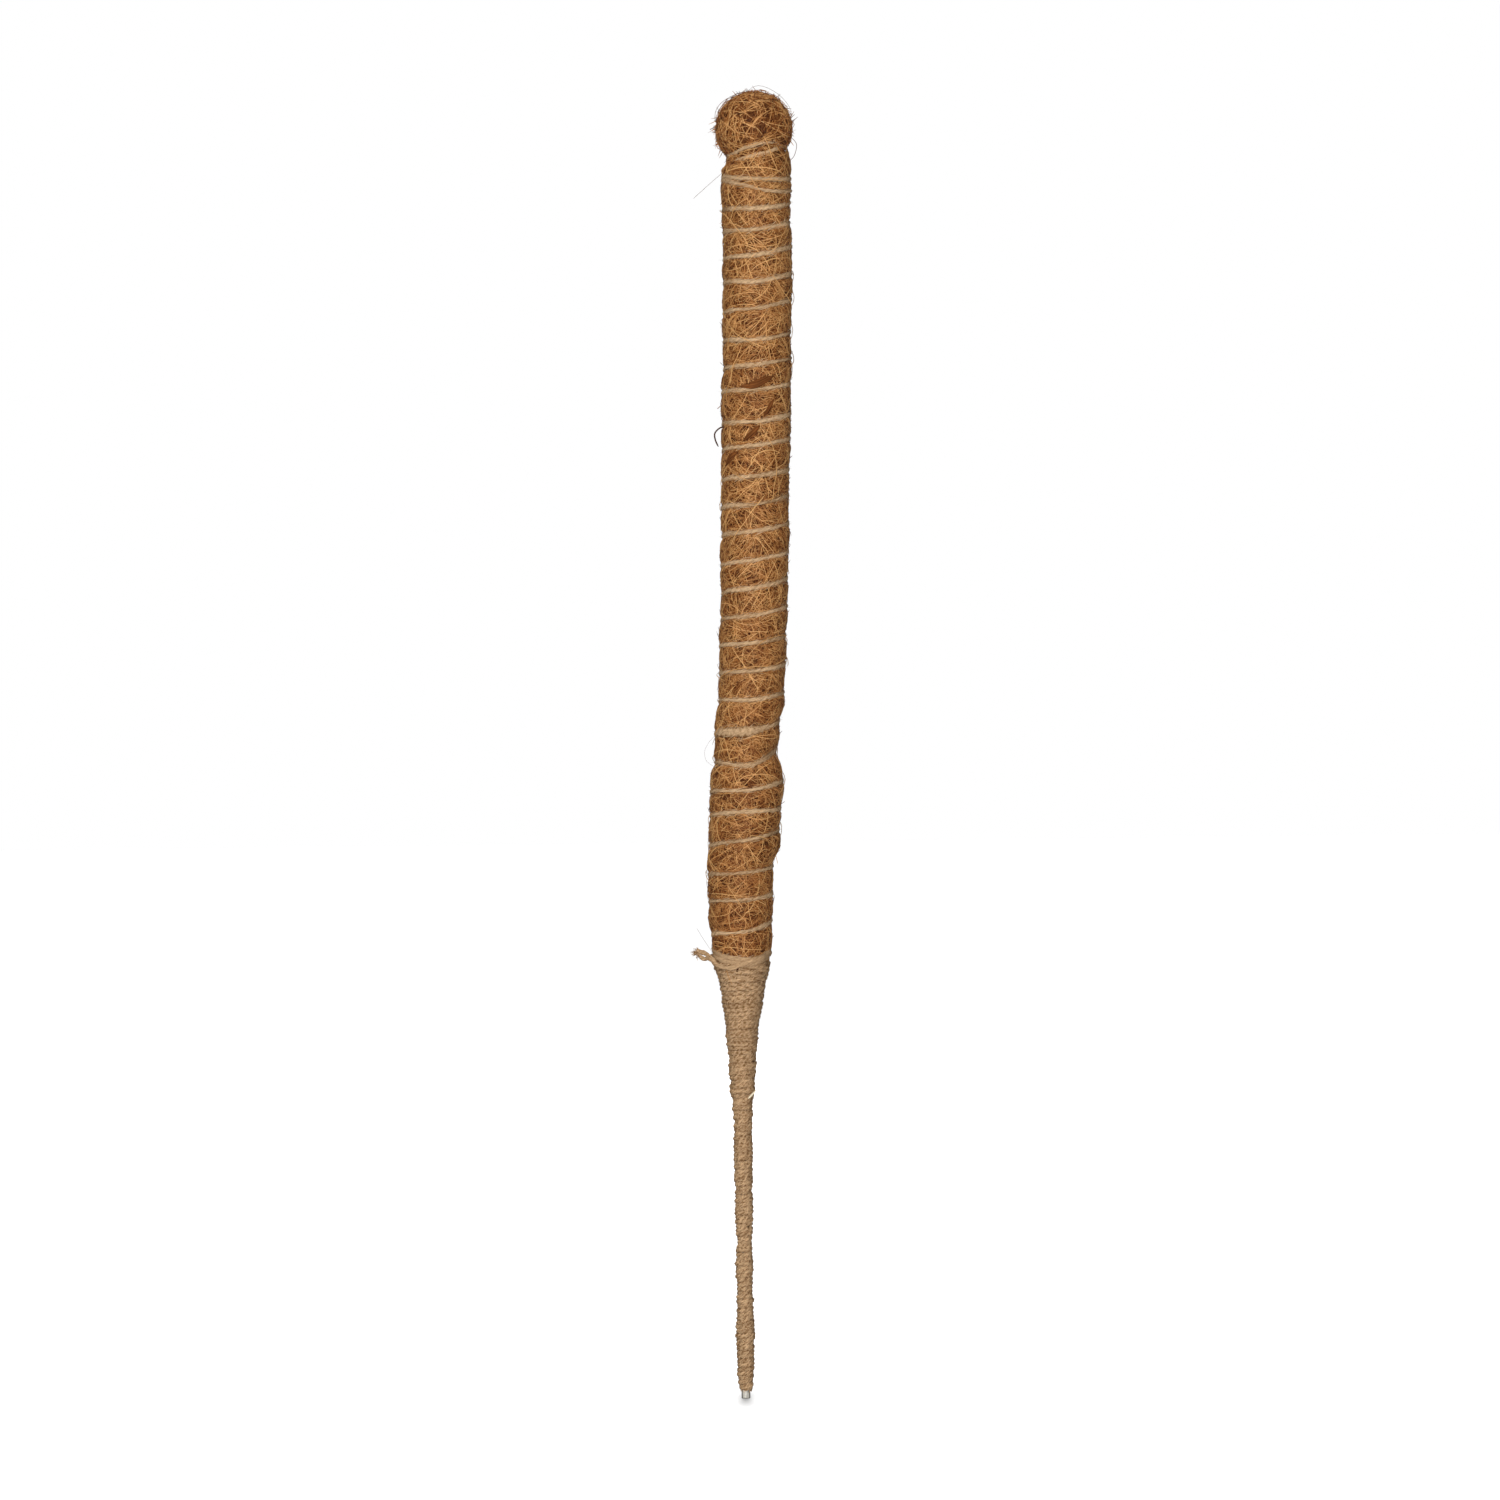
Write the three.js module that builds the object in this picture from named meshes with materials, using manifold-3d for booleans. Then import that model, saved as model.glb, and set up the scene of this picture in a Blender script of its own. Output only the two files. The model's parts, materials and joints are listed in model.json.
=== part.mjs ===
// Coir climbing pole: a twine-wound coir column with a tied round head, above a jute-wrapped stake,
// all on one core wire that is bent by hand. The bends of the wire are gathered in hinges, so the
// column is a chain of sections, each with a ball end that turns in the socket of the next.
// Millimetres. +Z runs up the stake, +X to the right, -Y to the viewer; the origin is the wire's tip.

import * as THREE from 'three';
import { mergeVertices } from 'three/addons/utils/BufferGeometryUtils.js';
import Module from 'manifold-3d';

const wasm = await Module();
wasm.setup();

// Heights along the pole, from the tip
const poleLength = 600;
const bareWireLength = 4;
const taperHeight = 140; // the stake's wrap ends and the taper starts
const collarHeight = 203; // the taper's wrap ends and bare coir starts
const columnStart = 208; // where the twine of the column passes the back for the first time
const crownLength = 80; // from the uppermost hinge to the top

// Core wire
const wireDiameter = 4;
const wireInset = 1; // how far a length of wire ends below the ball it passes through
const headWireDepth = 12; // coir over the wire's upper end, inside the head

// Coir column: diameters at heights above the collar
const columnGirths = [
  [0, 27.4], [20, 30.4], [43, 30.4], [51, 33], [83, 33], [95, 28.4], [105, 29.8], [142, 31.2], [227, 32],
];
const collarDiameter = 26.6; // over the top of the taper's wrap
const taperDiameter = 11.9; // over the bottom of the taper's wrap

// Stake: diameters over its wrap, at heights above the bare wire
const stakeGirths = [
  [0, 6], [8, 7.3], [26, 7.9], [47, 7], [58, 8], [69, 7], [80, 8.3], [121, 8.3], [136, 10.4],
];

// Twine on the column
const twineWidth = 2.6;
const twineThickness = 1.6;
const twineProud = 0.3; // how far it stands out of the coir
const twineFlat = 0.8; // width of its inner face, as a share of its own width
const channelLip = 0.5; // width of the slope at each edge of the channel that it lies in
const turnsPerSection = 4;

// Twine on the stake and the taper
const wrapWidth = 2.8;
const wrapThickness = 1.75;
const wrapGap = 0.6; // least space between two turns
const wrapCrown = 0.6; // width of a turn's outer face, as a share of its inner one

// Bends at the hinges, lowest first, in degrees: positive leans to +X
const restBends = [5.9, -3.3, -1.4, 0.3, -0.5, 0];
const bendRange = 15; // each way from rest
const socketWall = 0.3; // coir between a socket and the twine's channel

// Crown
const headDiameter = 35.6;
const headLift = 1; // from the middle of the neck up to where the head swells out of it
const headTilt = 10; // degrees, the right side of the neck the higher one
const neckDiameter = 28.8;
const neckTieTurns = 2;
const neckTiePitch = 4.2;
const neckTieDrop = 3.2; // from the neck's middle down to the start of its tie
const shoulderHeight = 17; // from the start of the close turns up to the neck
const openCrownTurns = 3.25;
const closeCrownTurns = 1.5;
const closeTurnPitch = 4.5;

// Loose end of the taper's twine
const tailDiameter = 2;
// Its course: turns round from the back, then how far off the wrap and above the collar, in diameters
const tailCourse = [
  [0.42, 0, -3], [0.35, 0, -2], [0.315, 1.55, -0.25], [0.3, 2.95, 0.5], [0.29, 4.25, -0.25],
];

// Fits and facets
const clearance = 0.3;
const turnSteps = 14;
const stakeSteps = 8;
const taperSteps = 12;
const ballSides = 18;
const ballRings = 10;
const boreSides = 12;
const wireSides = 16;
const latheSides = 24;
const tailSteps = 10;
const tailSides = 6;
const mergeTolerance = 1e-4;
const spare = 4; // length by which a cutting shape passes what it cuts

// Worked out from the sizes above
const wireRadius = wireDiameter / 2;
const boreRadius = (wireRadius + clearance) / Math.cos(Math.PI / boreSides);
const hingeCount = restBends.length;
const crownStart = poleLength - crownLength;
const sectionLength = (crownStart - columnStart) / hingeCount;
const turnPitch = sectionLength / turnsPerSection;
const channelDepth = twineThickness - twineProud + clearance;
const channelWidth = twineWidth + 2 * clearance;
const tiltAngle = THREE.MathUtils.degToRad(headTilt);
const headRadius = headDiameter / 2;
const neckRadius = neckDiameter / 2;
const headDrop = Math.sqrt(headRadius ** 2 - neckRadius ** 2); // from the head's middle down to its neck
const headRise = headLift + headDrop;
const neckHeight = crownLength - headRadius - headRise * Math.cos(tiltAngle);

const coirColour = 0xa2744a;
const twineColour = 0xb8956f;
const wrapColour = 0xaa8c6b;
const wireColour = 0xc8c6c0;

// Diameter or other size at a height, eased between the stops of a list
function eased(stops, height) {
  const next = stops.findIndex(([stop]) => stop > height);
  if (next === 0) return stops[0][1];
  if (next < 0) return stops.at(-1)[1];
  const [lowHeight, low] = stops[next - 1];
  const [highHeight, high] = stops[next];
  return THREE.MathUtils.lerp(low, high, THREE.MathUtils.smoothstep(height, lowHeight, highHeight));
}

function columnRadius(height) {
  return eased(columnGirths, height - collarHeight) / 2;
}

function stakeWrapRadius(height) {
  return eased(stakeGirths, height - bareWireLength) / 2;
}

// The taper swells faster towards the collar.
function taperWrapRadius(height) {
  const share = (height - taperHeight) / (collarHeight - taperHeight);
  return THREE.MathUtils.lerp(taperDiameter, collarDiameter, share * share) / 2;
}

function taperCoirRadius(height) {
  return taperWrapRadius(height) - wrapThickness - clearance;
}

// A point on the pole, so many turns round from the back: left, front, right
function polePoint(turn, radius, height) {
  const angle = 2 * Math.PI * turn;
  return new THREE.Vector3(-radius * Math.sin(angle), radius * Math.cos(angle), height);
}

function meshGeometry(points, triangles) {
  const geometry = new THREE.BufferGeometry().setFromPoints(points);
  geometry.setIndex(triangles.flat());
  geometry.computeVertexNormals();
  return geometry;
}

function solidOf(geometry) {
  const bare = geometry.clone();
  bare.deleteAttribute('normal');
  bare.deleteAttribute('uv');
  const merged = mergeVertices(bare, mergeTolerance);
  return new wasm.Manifold(new wasm.Mesh({
    numProp: 3,
    vertProperties: Float32Array.from(merged.attributes.position.array),
    triVerts: Uint32Array.from(merged.index.array),
  }));
}

function geometryOf(solid) {
  const { vertProperties, triVerts } = solid.getMesh();
  const geometry = new THREE.BufferGeometry();
  geometry.setAttribute('position', new THREE.BufferAttribute(vertProperties, 3));
  geometry.setIndex(new THREE.BufferAttribute(triVerts, 1));
  geometry.computeVertexNormals();
  return geometry;
}

function upright(geometry) {
  return geometry.rotateX(Math.PI / 2);
}

function cylinder(radius, low, high, sides) {
  const geometry = upright(new THREE.CylinderGeometry(radius, radius, high - low, sides));
  return geometry.translate(0, 0, (low + high) / 2);
}

function ball(radius, height) {
  return upright(new THREE.SphereGeometry(radius, ballSides, ballRings)).translate(0, 0, height);
}

// A solid turned from [radius, height] points that run up from the axis and back to it
function turned(profile, sides) {
  const points = profile.map(([radius, height]) => new THREE.Vector2(radius, height));
  return upright(new THREE.LatheGeometry(points, sides));
}

// A tube through rings of points, all in the same order, with flat ends
function tube(rings) {
  const sides = rings[0].length;
  const triangles = [];
  for (let i = 0; i + 1 < rings.length; i++) {
    for (let j = 0; j < sides; j++) {
      const here = i * sides + j;
      const beside = i * sides + (j + 1) % sides;
      triangles.push([here, here + sides, beside], [beside, here + sides, beside + sides]);
    }
  }
  const last = (rings.length - 1) * sides;
  for (let j = 1; j + 1 < sides; j++) {
    triangles.push([0, j, j + 1], [last, last + j + 1, last + j]);
  }
  return meshGeometry(rings.flat(), triangles);
}

// Least distance between points of a winding that lie about a turn or more apart
function leastGap(rings, steps) {
  let least = Infinity;
  rings.forEach((ring, i) => {
    for (const other of rings.slice(i + steps - 1).flat()) {
      for (const point of ring) {
        least = Math.min(least, point.distanceTo(other));
      }
    }
  });
  return least;
}

// Turns at which a winding has its rings: its two ends, and every whole step between them
function ringTurns(first, last, steps) {
  const turns = [first];
  const firstStep = Math.floor(first * steps + mergeTolerance) + 1;
  const lastStep = Math.ceil(last * steps - mergeTolerance) - 1;
  for (let step = firstStep; step <= lastStep; step++) {
    turns.push(step / steps);
  }
  turns.push(last);
  return turns;
}

// Rings of twine in its channel, flat towards the coir and round outside, grown by a margin
function twineRings(turnHeight, surfaceRadius, first, last, margin = 0) {
  const halfThick = twineThickness / 2 + margin;
  const halfWide = twineWidth / 2 + margin;
  const halfFlat = halfWide * twineFlat;
  const outline = [
    [-halfThick, -halfFlat], [0, -halfWide], [halfThick, 0], [0, halfWide], [-halfThick, halfFlat],
  ];
  return ringTurns(first, last, turnSteps).map((turn) => {
    const height = turnHeight(turn);
    const middle = surfaceRadius(height) + twineProud - twineThickness / 2;
    return outline.map(([out, up]) => polePoint(turn, middle + out, height + up));
  });
}

// A close wrap between two heights, with as many whole turns as find room
function closeWrap(low, high, steps, innerRadius, outerRadius) {
  const rise = high - low - wrapWidth;
  const turns = Math.floor(rise / (wrapWidth + wrapGap));
  return { bottom: low + wrapWidth / 2, pitch: rise / turns, turns, steps, innerRadius, outerRadius };
}

// Rings of the part of a close wrap that lies between two of its turns
function wrapRings(wrap, first, last) {
  const round = Math.cos(Math.PI / wrap.steps);
  const halfWide = wrapWidth / 2;
  return ringTurns(first, last, wrap.steps).map((turn) => {
    const height = wrap.bottom + wrap.pitch * turn;
    const inner = (up) => polePoint(turn, wrap.innerRadius(height + up) / round, height + up);
    const outer = (up) => polePoint(turn, wrap.outerRadius(height + up), height + up);
    return [inner(-halfWide), outer(-halfWide * wrapCrown), outer(halfWide * wrapCrown), inner(halfWide)];
  });
}

// A stretch of coir with the twine's channel round it, between two heights of its own frame.
// Its rows of points follow the channel: two along its floor, and one along each shoulder above it.
function channelledColumn(turnHeight, surfaceRadius, firstTurn, lastTurn, low, high) {
  const rows = 4;
  const firstStep = firstTurn * turnSteps;
  const steps = (lastTurn - firstTurn) * turnSteps;
  const points = [];
  for (let i = 0; i <= steps + turnSteps; i++) {
    const turn = (firstStep + i) / turnSteps;
    const height = turnHeight(turn);
    const floor = surfaceRadius(height) - channelDepth;
    const shoulderLow = height + channelWidth / 2 + channelLip;
    const shoulderHigh = turnHeight(turn + 1) - channelWidth / 2 - channelLip;
    points.push(
      polePoint(turn, floor, height - channelWidth / 2),
      polePoint(turn, floor, height + channelWidth / 2),
      polePoint(turn, surfaceRadius(shoulderLow), shoulderLow),
      polePoint(turn, surfaceRadius(shoulderHigh), shoulderHigh),
    );
  }
  // The row above the last shoulder is the channel one turn on.
  const at = (step, row) => (row < rows ? step * rows + row : (step + turnSteps) * rows);
  const bottom = points.push(new THREE.Vector3(0, 0, turnHeight(firstTurn) - turnPitch)) - 1;
  const top = points.push(new THREE.Vector3(0, 0, turnHeight(lastTurn + 1) + turnPitch)) - 1;
  const triangles = [];
  for (let i = 0; i < steps; i++) {
    for (let row = 0; row < rows; row++) {
      triangles.push([at(i, row), at(i + 1, row), at(i + 1, row + 1)]);
      triangles.push([at(i, row), at(i + 1, row + 1), at(i, row + 1)]);
    }
  }
  for (let i = 0; i < turnSteps; i++) {
    triangles.push([bottom, at(i + 1, 0), at(i, 0)]);
    triangles.push([top, at(steps + i, 0), at(steps + i + 1, 0)]);
  }
  for (let row = 0; row < rows; row++) {
    triangles.push([bottom, at(0, row), at(0, row + 1)]);
    triangles.push([top, at(steps, row + 1), at(steps, row)]);
  }
  const wound = solidOf(meshGeometry(points, triangles));
  return wound.intersect(solidOf(cylinder(2 * headDiameter, low, high, 4)));
}

// Sizes of the joint at a hinge, counted from 1, from the coir's radius and the furthest bend there
function jointAt(hinge) {
  const bend = THREE.MathUtils.degToRad(bendRange + Math.abs(restBends[hinge - 1]));
  const surface = columnRadius(columnStart + hinge * sectionLength);
  const socketRadius = surface - channelDepth - socketWall;
  // The facets of a socket reach in past its corners, so the ball clears the middles of its facets.
  const facets = Math.cos(Math.PI / ballSides) * Math.cos(Math.PI / (2 * ballRings));
  const ballRadius = socketRadius * facets - clearance;
  // Half the notch between two sections: the rim of one comes down on the twine of the other, most of
  // all where the twine's own slope falls away as slowly as the rim does.
  const outside = surface + twineProud;
  const slope = turnPitch / (2 * Math.PI);
  const swing = outside * Math.sin(bend);
  const worst = Math.acos(Math.min(1, slope / swing));
  const dip = swing * Math.sin(worst) - slope * worst;
  const notch = (2 * clearance + twineWidth / 2 + dip) / Math.cos(bend);
  // How far round, in turns, a winding stops short of the hinge, so that its end clears the next one
  const endGap = (clearance + (twineWidth / 2) * Math.sin(bend)) / (1 + Math.cos(bend));
  const setback = endGap / (2 * Math.PI * outside);
  return { socketRadius, ballRadius, notch, setback };
}

function addMesh(parent, name, geometry, colour, roughness, metalness = 0) {
  const material = new THREE.MeshStandardMaterial({ color: colour, roughness, metalness });
  const mesh = new THREE.Mesh(geometry, material);
  mesh.name = name;
  parent.add(mesh);
}

function addCoir(parent, name, solid) {
  addMesh(parent, name, geometryOf(solid), coirColour, 0.95);
}

function addWire(parent, name, low, high) {
  addMesh(parent, name, cylinder(wireRadius, low, high, wireSides), wireColour, 0.35, 1);
}

function addWinding(parent, name, rings, steps, colour) {
  console.log(`${name}: least gap to itself ${leastGap(rings, steps).toFixed(2)} mm`);
  addMesh(parent, name, tube(rings), colour, 0.95);
}

// The stake's wrap is two lengths of twine end to end, and the taper's is a third.
function addStake(pole) {
  const underWrap = () => wireRadius + clearance;
  const stake = closeWrap(bareWireLength, taperHeight, stakeSteps, underWrap, stakeWrapRadius);
  const joinTurn = Math.floor(stake.turns / 2);
  const joinGap = clearance / (2 * Math.PI * wireRadius);
  const lower = wrapRings(stake, 0, joinTurn - joinGap);
  const upper = wrapRings(stake, joinTurn + joinGap, stake.turns);
  addWinding(pole, 'stake_wrap_lower', lower, stakeSteps, wrapColour);
  addWinding(pole, 'stake_wrap_upper', upper, stakeSteps, wrapColour);
  const overCoir = (height) => taperCoirRadius(height) + clearance;
  const taperTop = collarHeight - clearance;
  const taper = closeWrap(taperHeight + wrapGap, taperTop, taperSteps, overCoir, taperWrapRadius);
  addWinding(pole, 'taper_wrap', wrapRings(taper, 0, taper.turns), taperSteps, wrapColour);
}

// The end of the taper's twine comes off the collar on the left of its front.
function addTail(pole) {
  const lying = tailDiameter / 2 + clearance;
  const route = new THREE.CatmullRomCurve3(tailCourse.map(([turn, off, above]) => {
    const height = collarHeight + above * tailDiameter;
    return polePoint(turn, taperWrapRadius(height) + lying + off * tailDiameter, height);
  }));
  const section = new THREE.Shape().absarc(0, 0, tailDiameter / 2, 0, 2 * Math.PI);
  const settings = { extrudePath: route, steps: tailSteps, curveSegments: tailSides / 2 };
  addMesh(pole, 'twine_tail', new THREE.ExtrudeGeometry(section, settings), wrapColour, 0.95);
}

// Coir of the taper, from the collar down, in the frame of the first section
function taperCoir() {
  const bottom = taperHeight + wrapGap;
  const profile = [[0, bottom]];
  const stops = 6;
  for (let i = 0; i <= stops; i++) {
    const height = THREE.MathUtils.lerp(bottom, collarHeight, i / stops);
    profile.push([taperCoirRadius(height), height]);
  }
  const top = collarHeight + channelWidth;
  profile.push([taperCoirRadius(collarHeight) - channelDepth, top], [0, top]);
  return solidOf(turned(profile, latheSides).translate(0, 0, -columnStart));
}

const sectionTurnHeight = (turn) => turnPitch * turn;

// A section of the column above the hinge of the given number; number 0 stands on the stake.
function addSection(group, number) {
  const first = number === 0;
  const below = first ? null : jointAt(number);
  const above = jointAt(number + 1);
  const surface = (height) => columnRadius(columnStart + number * sectionLength + height);
  const low = first ? collarHeight - columnStart : below.notch;
  const high = sectionLength - above.notch;
  const firstTurn = first ? Math.floor(low / turnPitch) - 1 : -1;
  let coir = channelledColumn(sectionTurnHeight, surface, firstTurn, turnsPerSection, low, high);
  coir = coir.add(solidOf(ball(above.ballRadius, sectionLength)));
  const wireTop = sectionLength + above.ballRadius - wireInset;
  let wireBottom = -columnStart;
  if (first) {
    coir = coir.add(taperCoir());
  } else {
    coir = coir.subtract(solidOf(ball(below.socketRadius, 0)));
    wireBottom = below.socketRadius + clearance;
  }
  coir = coir.subtract(solidOf(cylinder(boreRadius, wireBottom - spare, wireTop + spare, boreSides)));

  const collarTurn = (low + channelWidth / 2) / turnPitch;
  const twineStart = first ? collarTurn : below.setback;
  const twineEnd = turnsPerSection - above.setback;
  const rings = twineRings(sectionTurnHeight, surface, twineStart, twineEnd);
  addCoir(group, `coir_section_${number + 1}`, coir);
  addWinding(group, `twine_winding_${number + 1}`, rings, turnSteps, twineColour);
  addWire(group, `core_wire_${number + 1}`, wireBottom, wireTop);
}

// The top of the column: open turns, close turns, a shoulder, and the head that is tied off at its neck
function addCrown(group) {
  const below = jointAt(hingeCount);
  const surface = (height) => columnRadius(crownStart + height);
  const closeStart = neckHeight - shoulderHeight;
  const openPitch = closeStart / openCrownTurns;
  const turnHeight = (turn) => {
    const closed = Math.max(0, turn - openCrownTurns);
    return openPitch * (turn - closed) + closeTurnPitch * closed;
  };
  const lastTurn = openCrownTurns + closeCrownTurns;
  const columnTop = turnHeight(lastTurn) + channelWidth / 2 + channelLip;
  const topTurn = Math.ceil(lastTurn) + 1;
  let coir = channelledColumn(turnHeight, surface, -1, topTurn, below.notch, columnTop);
  coir = coir.add(solidOf(shoulder(surface(columnTop), columnTop)));

  const head = new THREE.Group();
  head.position.z = neckHeight;
  head.rotation.y = -tiltAngle;
  head.updateMatrix();
  const tieHeight = (turn) => neckTiePitch * turn - neckTieDrop;
  coir = coir.add(solidOf(neckAndHead().applyMatrix4(head.matrix)));
  const oneStep = 1 / turnSteps;
  const channel = twineRings(tieHeight, headSurface, -oneStep, neckTieTurns + oneStep, clearance);
  coir = coir.subtract(solidOf(tube(channel).applyMatrix4(head.matrix)));

  const wireBottom = below.socketRadius + clearance;
  const wireTop = crownLength - headWireDepth;
  coir = coir.subtract(solidOf(ball(below.socketRadius, 0)));
  coir = coir.subtract(solidOf(cylinder(boreRadius, 0, wireTop + clearance, boreSides)));
  addCoir(group, 'coir_crown', coir);
  const rings = twineRings(turnHeight, surface, below.setback, lastTurn);
  addWinding(group, 'crown_winding', rings, turnSteps, twineColour);
  addWire(group, 'crown_wire', wireBottom, wireTop);
  const tie = twineRings(tieHeight, headSurface, 0, neckTieTurns);
  addWinding(head, 'neck_tie', tie, turnSteps, twineColour);
  group.add(head);
}

// The column's rounded top, which starts just inside it and draws in under the neck
function shoulder(radius, height) {
  const sunk = clearance;
  const rise = neckHeight - neckTieDrop - height;
  const profile = [[0, height - sunk]];
  const stops = 4;
  for (let i = 0; i <= stops; i++) {
    const angle = (i / stops) * (Math.PI / 2);
    const drawn = (radius - neckRadius + sunk) * (1 - Math.cos(angle));
    profile.push([radius - sunk - drawn, height - sunk + rise * Math.sin(angle)]);
  }
  profile.push([0, height - sunk + rise]);
  return turned(profile, latheSides);
}

// Radius of the neck and the underside of the head, at a height above the neck's middle
function headSurface(height) {
  const drop = Math.min(headRadius, Math.abs(headRise - height));
  return Math.max(neckRadius, Math.sqrt(headRadius ** 2 - drop ** 2));
}

function neckAndHead() {
  const startAngle = -Math.asin(headDrop / headRadius);
  const neckBottom = -shoulderHeight / 2;
  const profile = [[0, neckBottom], [neckRadius, neckBottom]];
  const stops = 9;
  for (let i = 0; i < stops; i++) {
    const angle = THREE.MathUtils.lerp(startAngle, Math.PI / 2, i / stops);
    profile.push([headRadius * Math.cos(angle), headRise + headRadius * Math.sin(angle)]);
  }
  profile.push([0, headRise + headRadius]);
  return turned(profile, latheSides);
}

const pole = new THREE.Group();
addStake(pole);
addTail(pole);
let below = pole;
for (let number = 0; number <= hingeCount; number++) {
  const group = new THREE.Group();
  group.position.z = number === 0 ? columnStart : sectionLength;
  group.rotation.y = number === 0 ? 0 : THREE.MathUtils.degToRad(restBends[number - 1]);
  below.add(group);
  if (number < hingeCount) {
    addSection(group, number);
  } else {
    addCrown(group);
  }
  below = group;
}

export default pole;
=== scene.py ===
"""Looks of a bendable coir plant pole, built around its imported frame.

Lengths in the working code are millimetres along the pole: a place on it is a height above the tip,
measured along the bent middle, and a turn round it that starts at the back and runs by the left.
"""

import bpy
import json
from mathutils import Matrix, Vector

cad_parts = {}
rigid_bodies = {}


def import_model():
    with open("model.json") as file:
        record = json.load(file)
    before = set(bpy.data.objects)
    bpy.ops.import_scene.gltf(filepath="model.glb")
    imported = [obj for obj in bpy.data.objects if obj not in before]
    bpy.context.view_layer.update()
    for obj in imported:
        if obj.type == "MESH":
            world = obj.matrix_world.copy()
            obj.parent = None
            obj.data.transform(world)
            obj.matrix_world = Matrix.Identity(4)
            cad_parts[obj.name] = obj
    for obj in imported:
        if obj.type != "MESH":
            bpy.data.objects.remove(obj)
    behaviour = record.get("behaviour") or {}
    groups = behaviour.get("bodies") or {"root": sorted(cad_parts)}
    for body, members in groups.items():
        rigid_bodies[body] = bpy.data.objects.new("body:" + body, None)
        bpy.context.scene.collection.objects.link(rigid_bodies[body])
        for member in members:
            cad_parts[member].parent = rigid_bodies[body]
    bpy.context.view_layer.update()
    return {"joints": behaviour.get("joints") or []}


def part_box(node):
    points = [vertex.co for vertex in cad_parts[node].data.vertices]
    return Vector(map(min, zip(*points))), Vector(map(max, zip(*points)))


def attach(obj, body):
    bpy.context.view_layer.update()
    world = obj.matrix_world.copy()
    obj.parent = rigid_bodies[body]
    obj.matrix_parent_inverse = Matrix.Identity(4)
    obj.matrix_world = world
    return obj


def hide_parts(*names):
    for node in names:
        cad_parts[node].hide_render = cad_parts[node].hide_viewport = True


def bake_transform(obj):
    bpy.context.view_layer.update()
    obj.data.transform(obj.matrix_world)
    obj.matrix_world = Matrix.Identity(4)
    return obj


bl_info = {
    "name": "Coir Plant Pole",
    "version": (1, 0, 0),
    "blender": (4, 5, 0),
    "location": "View3D > Sidebar > Coir Pole",
    "description": "Builds the coir, twine, wraps and wire of a bendable plant pole around its frame",
    "category": "Add Mesh",
}

import json
import math

import bpy
import numpy as np
from mathutils import Quaternion, Vector

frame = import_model()

MM = 0.001
TAU = 2 * math.pi

JOINTS = frame["joints"]
BODIES = [JOINTS[0]["parent"]] + [joint["child"] for joint in JOINTS]
HINGES = [Vector(joint["pos_m"]) / MM for joint in JOINTS]
SECTION = (HINGES[1] - HINGES[0]).length
HINGE_HEIGHTS = [HINGES[0].z + number * SECTION for number in range(len(HINGES))]
# The pole is cut half-way between the hinges: length 0 is the stake, the last one the crown
CUTS = [height - SECTION / 2 for height in HINGE_HEIGHTS] + [HINGE_HEIGHTS[-1] + SECTION / 2]
BEND_REACH = 0.46 * SECTION

# Heights along the pole
BARE_WIRE = 4.0
STAKE_JOINT = 72.5
STEP_HEIGHT = 140.0
WRAP_TOP = 200.6
COLLAR = 203.0
NECK = 570.9
HEAD_MIDDLE = 582.4
HEAD_RADIUS = 17.2
WIRE_TOP = 588.0
MAT_TOP = NECK + 26.5
POLE_TOP = 602.0

# Radius of the coir and its sideways shift off the wire, at heights
COIR_RADII = [
    (141, 3.6), (165, 5.0), (185, 8.2), (203, 12.6), (208, 13.0), (214, 13.5), (223, 14.4), (233, 14.7),
    (246, 14.9), (254, 16.1), (262, 15.9), (270, 15.9), (279, 16.4), (285, 16.3), (291, 15.2), (298, 13.9),
    (305, 14.9), (311, 14.4), (320, 14.8), (331, 14.6), (345, 15.1), (400, 15.2), (440, 15.5), (545, 15.5),
    (555, 16.0), (563, 15.7), (570.9, 14.7),
]
COIR_SHIFTS = [
    (165, 0.0), (178, 0.4), (190, 0.65), (203, 0.2), (246, 0.1), (254, 1.9), (262, 1.5), (270, 1.9),
    (280, 1.4), (286, 1.0), (291, 0.8), (297, -0.4), (312, -0.6), (320, 0.3), (345, 0.2), (530, 0.0),
    (549, -0.8), (561, -0.8), (570, -0.2), (578, 1.3),
]
HEAD_TILT = math.radians(-12)
HEAD_TILT_REACH = (560.0, 574.0)

# Waves round and up the pole: times round, length up the pole, start and size
LUMPS = [
    (2, 61, 0.3, 0.16), (3, -38, 1.9, 0.15), (1, 27, 4.0, 0.14), (5, 19, 2.2, 0.11), (4, -13, 5.1, 0.09),
]
SWIRLS = [(2, 53, 0.4, 1.0), (3, -31, 2.0, 0.8), (1, 17, 4.4, 0.6)]
SWIRL_SLANT = math.radians(40)
LUMP_MEAN = 0.25

# How deep the twine draws the coir in, and how far above and below itself
DRAWN_DEPTH = 1.25
DRAWN_REACH = 1.7
# Hollow at the left of the neck: depth, turn, the height where it begins and the rise to its full depth
HOLLOW_DEPTH = 1.7
HOLLOW_TURN = 0.28
HOLLOW_START = 564.5
HOLLOW_RISE = 4.5

# Stake and taper: radius over the wrap, at heights
STAKE_RADII = [
    (4, 2.9), (12, 3.6), (30, 3.95), (51, 3.4), (62, 3.8), (73, 3.3), (84, 3.9), (125, 4.1), (136, 4.6),
    (140, 5.2),
]
TAPER_RADII = [(140, 5.7), (156, 6.2), (172, 7.6), (187, 9.9), (203, 13.3)]

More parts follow.
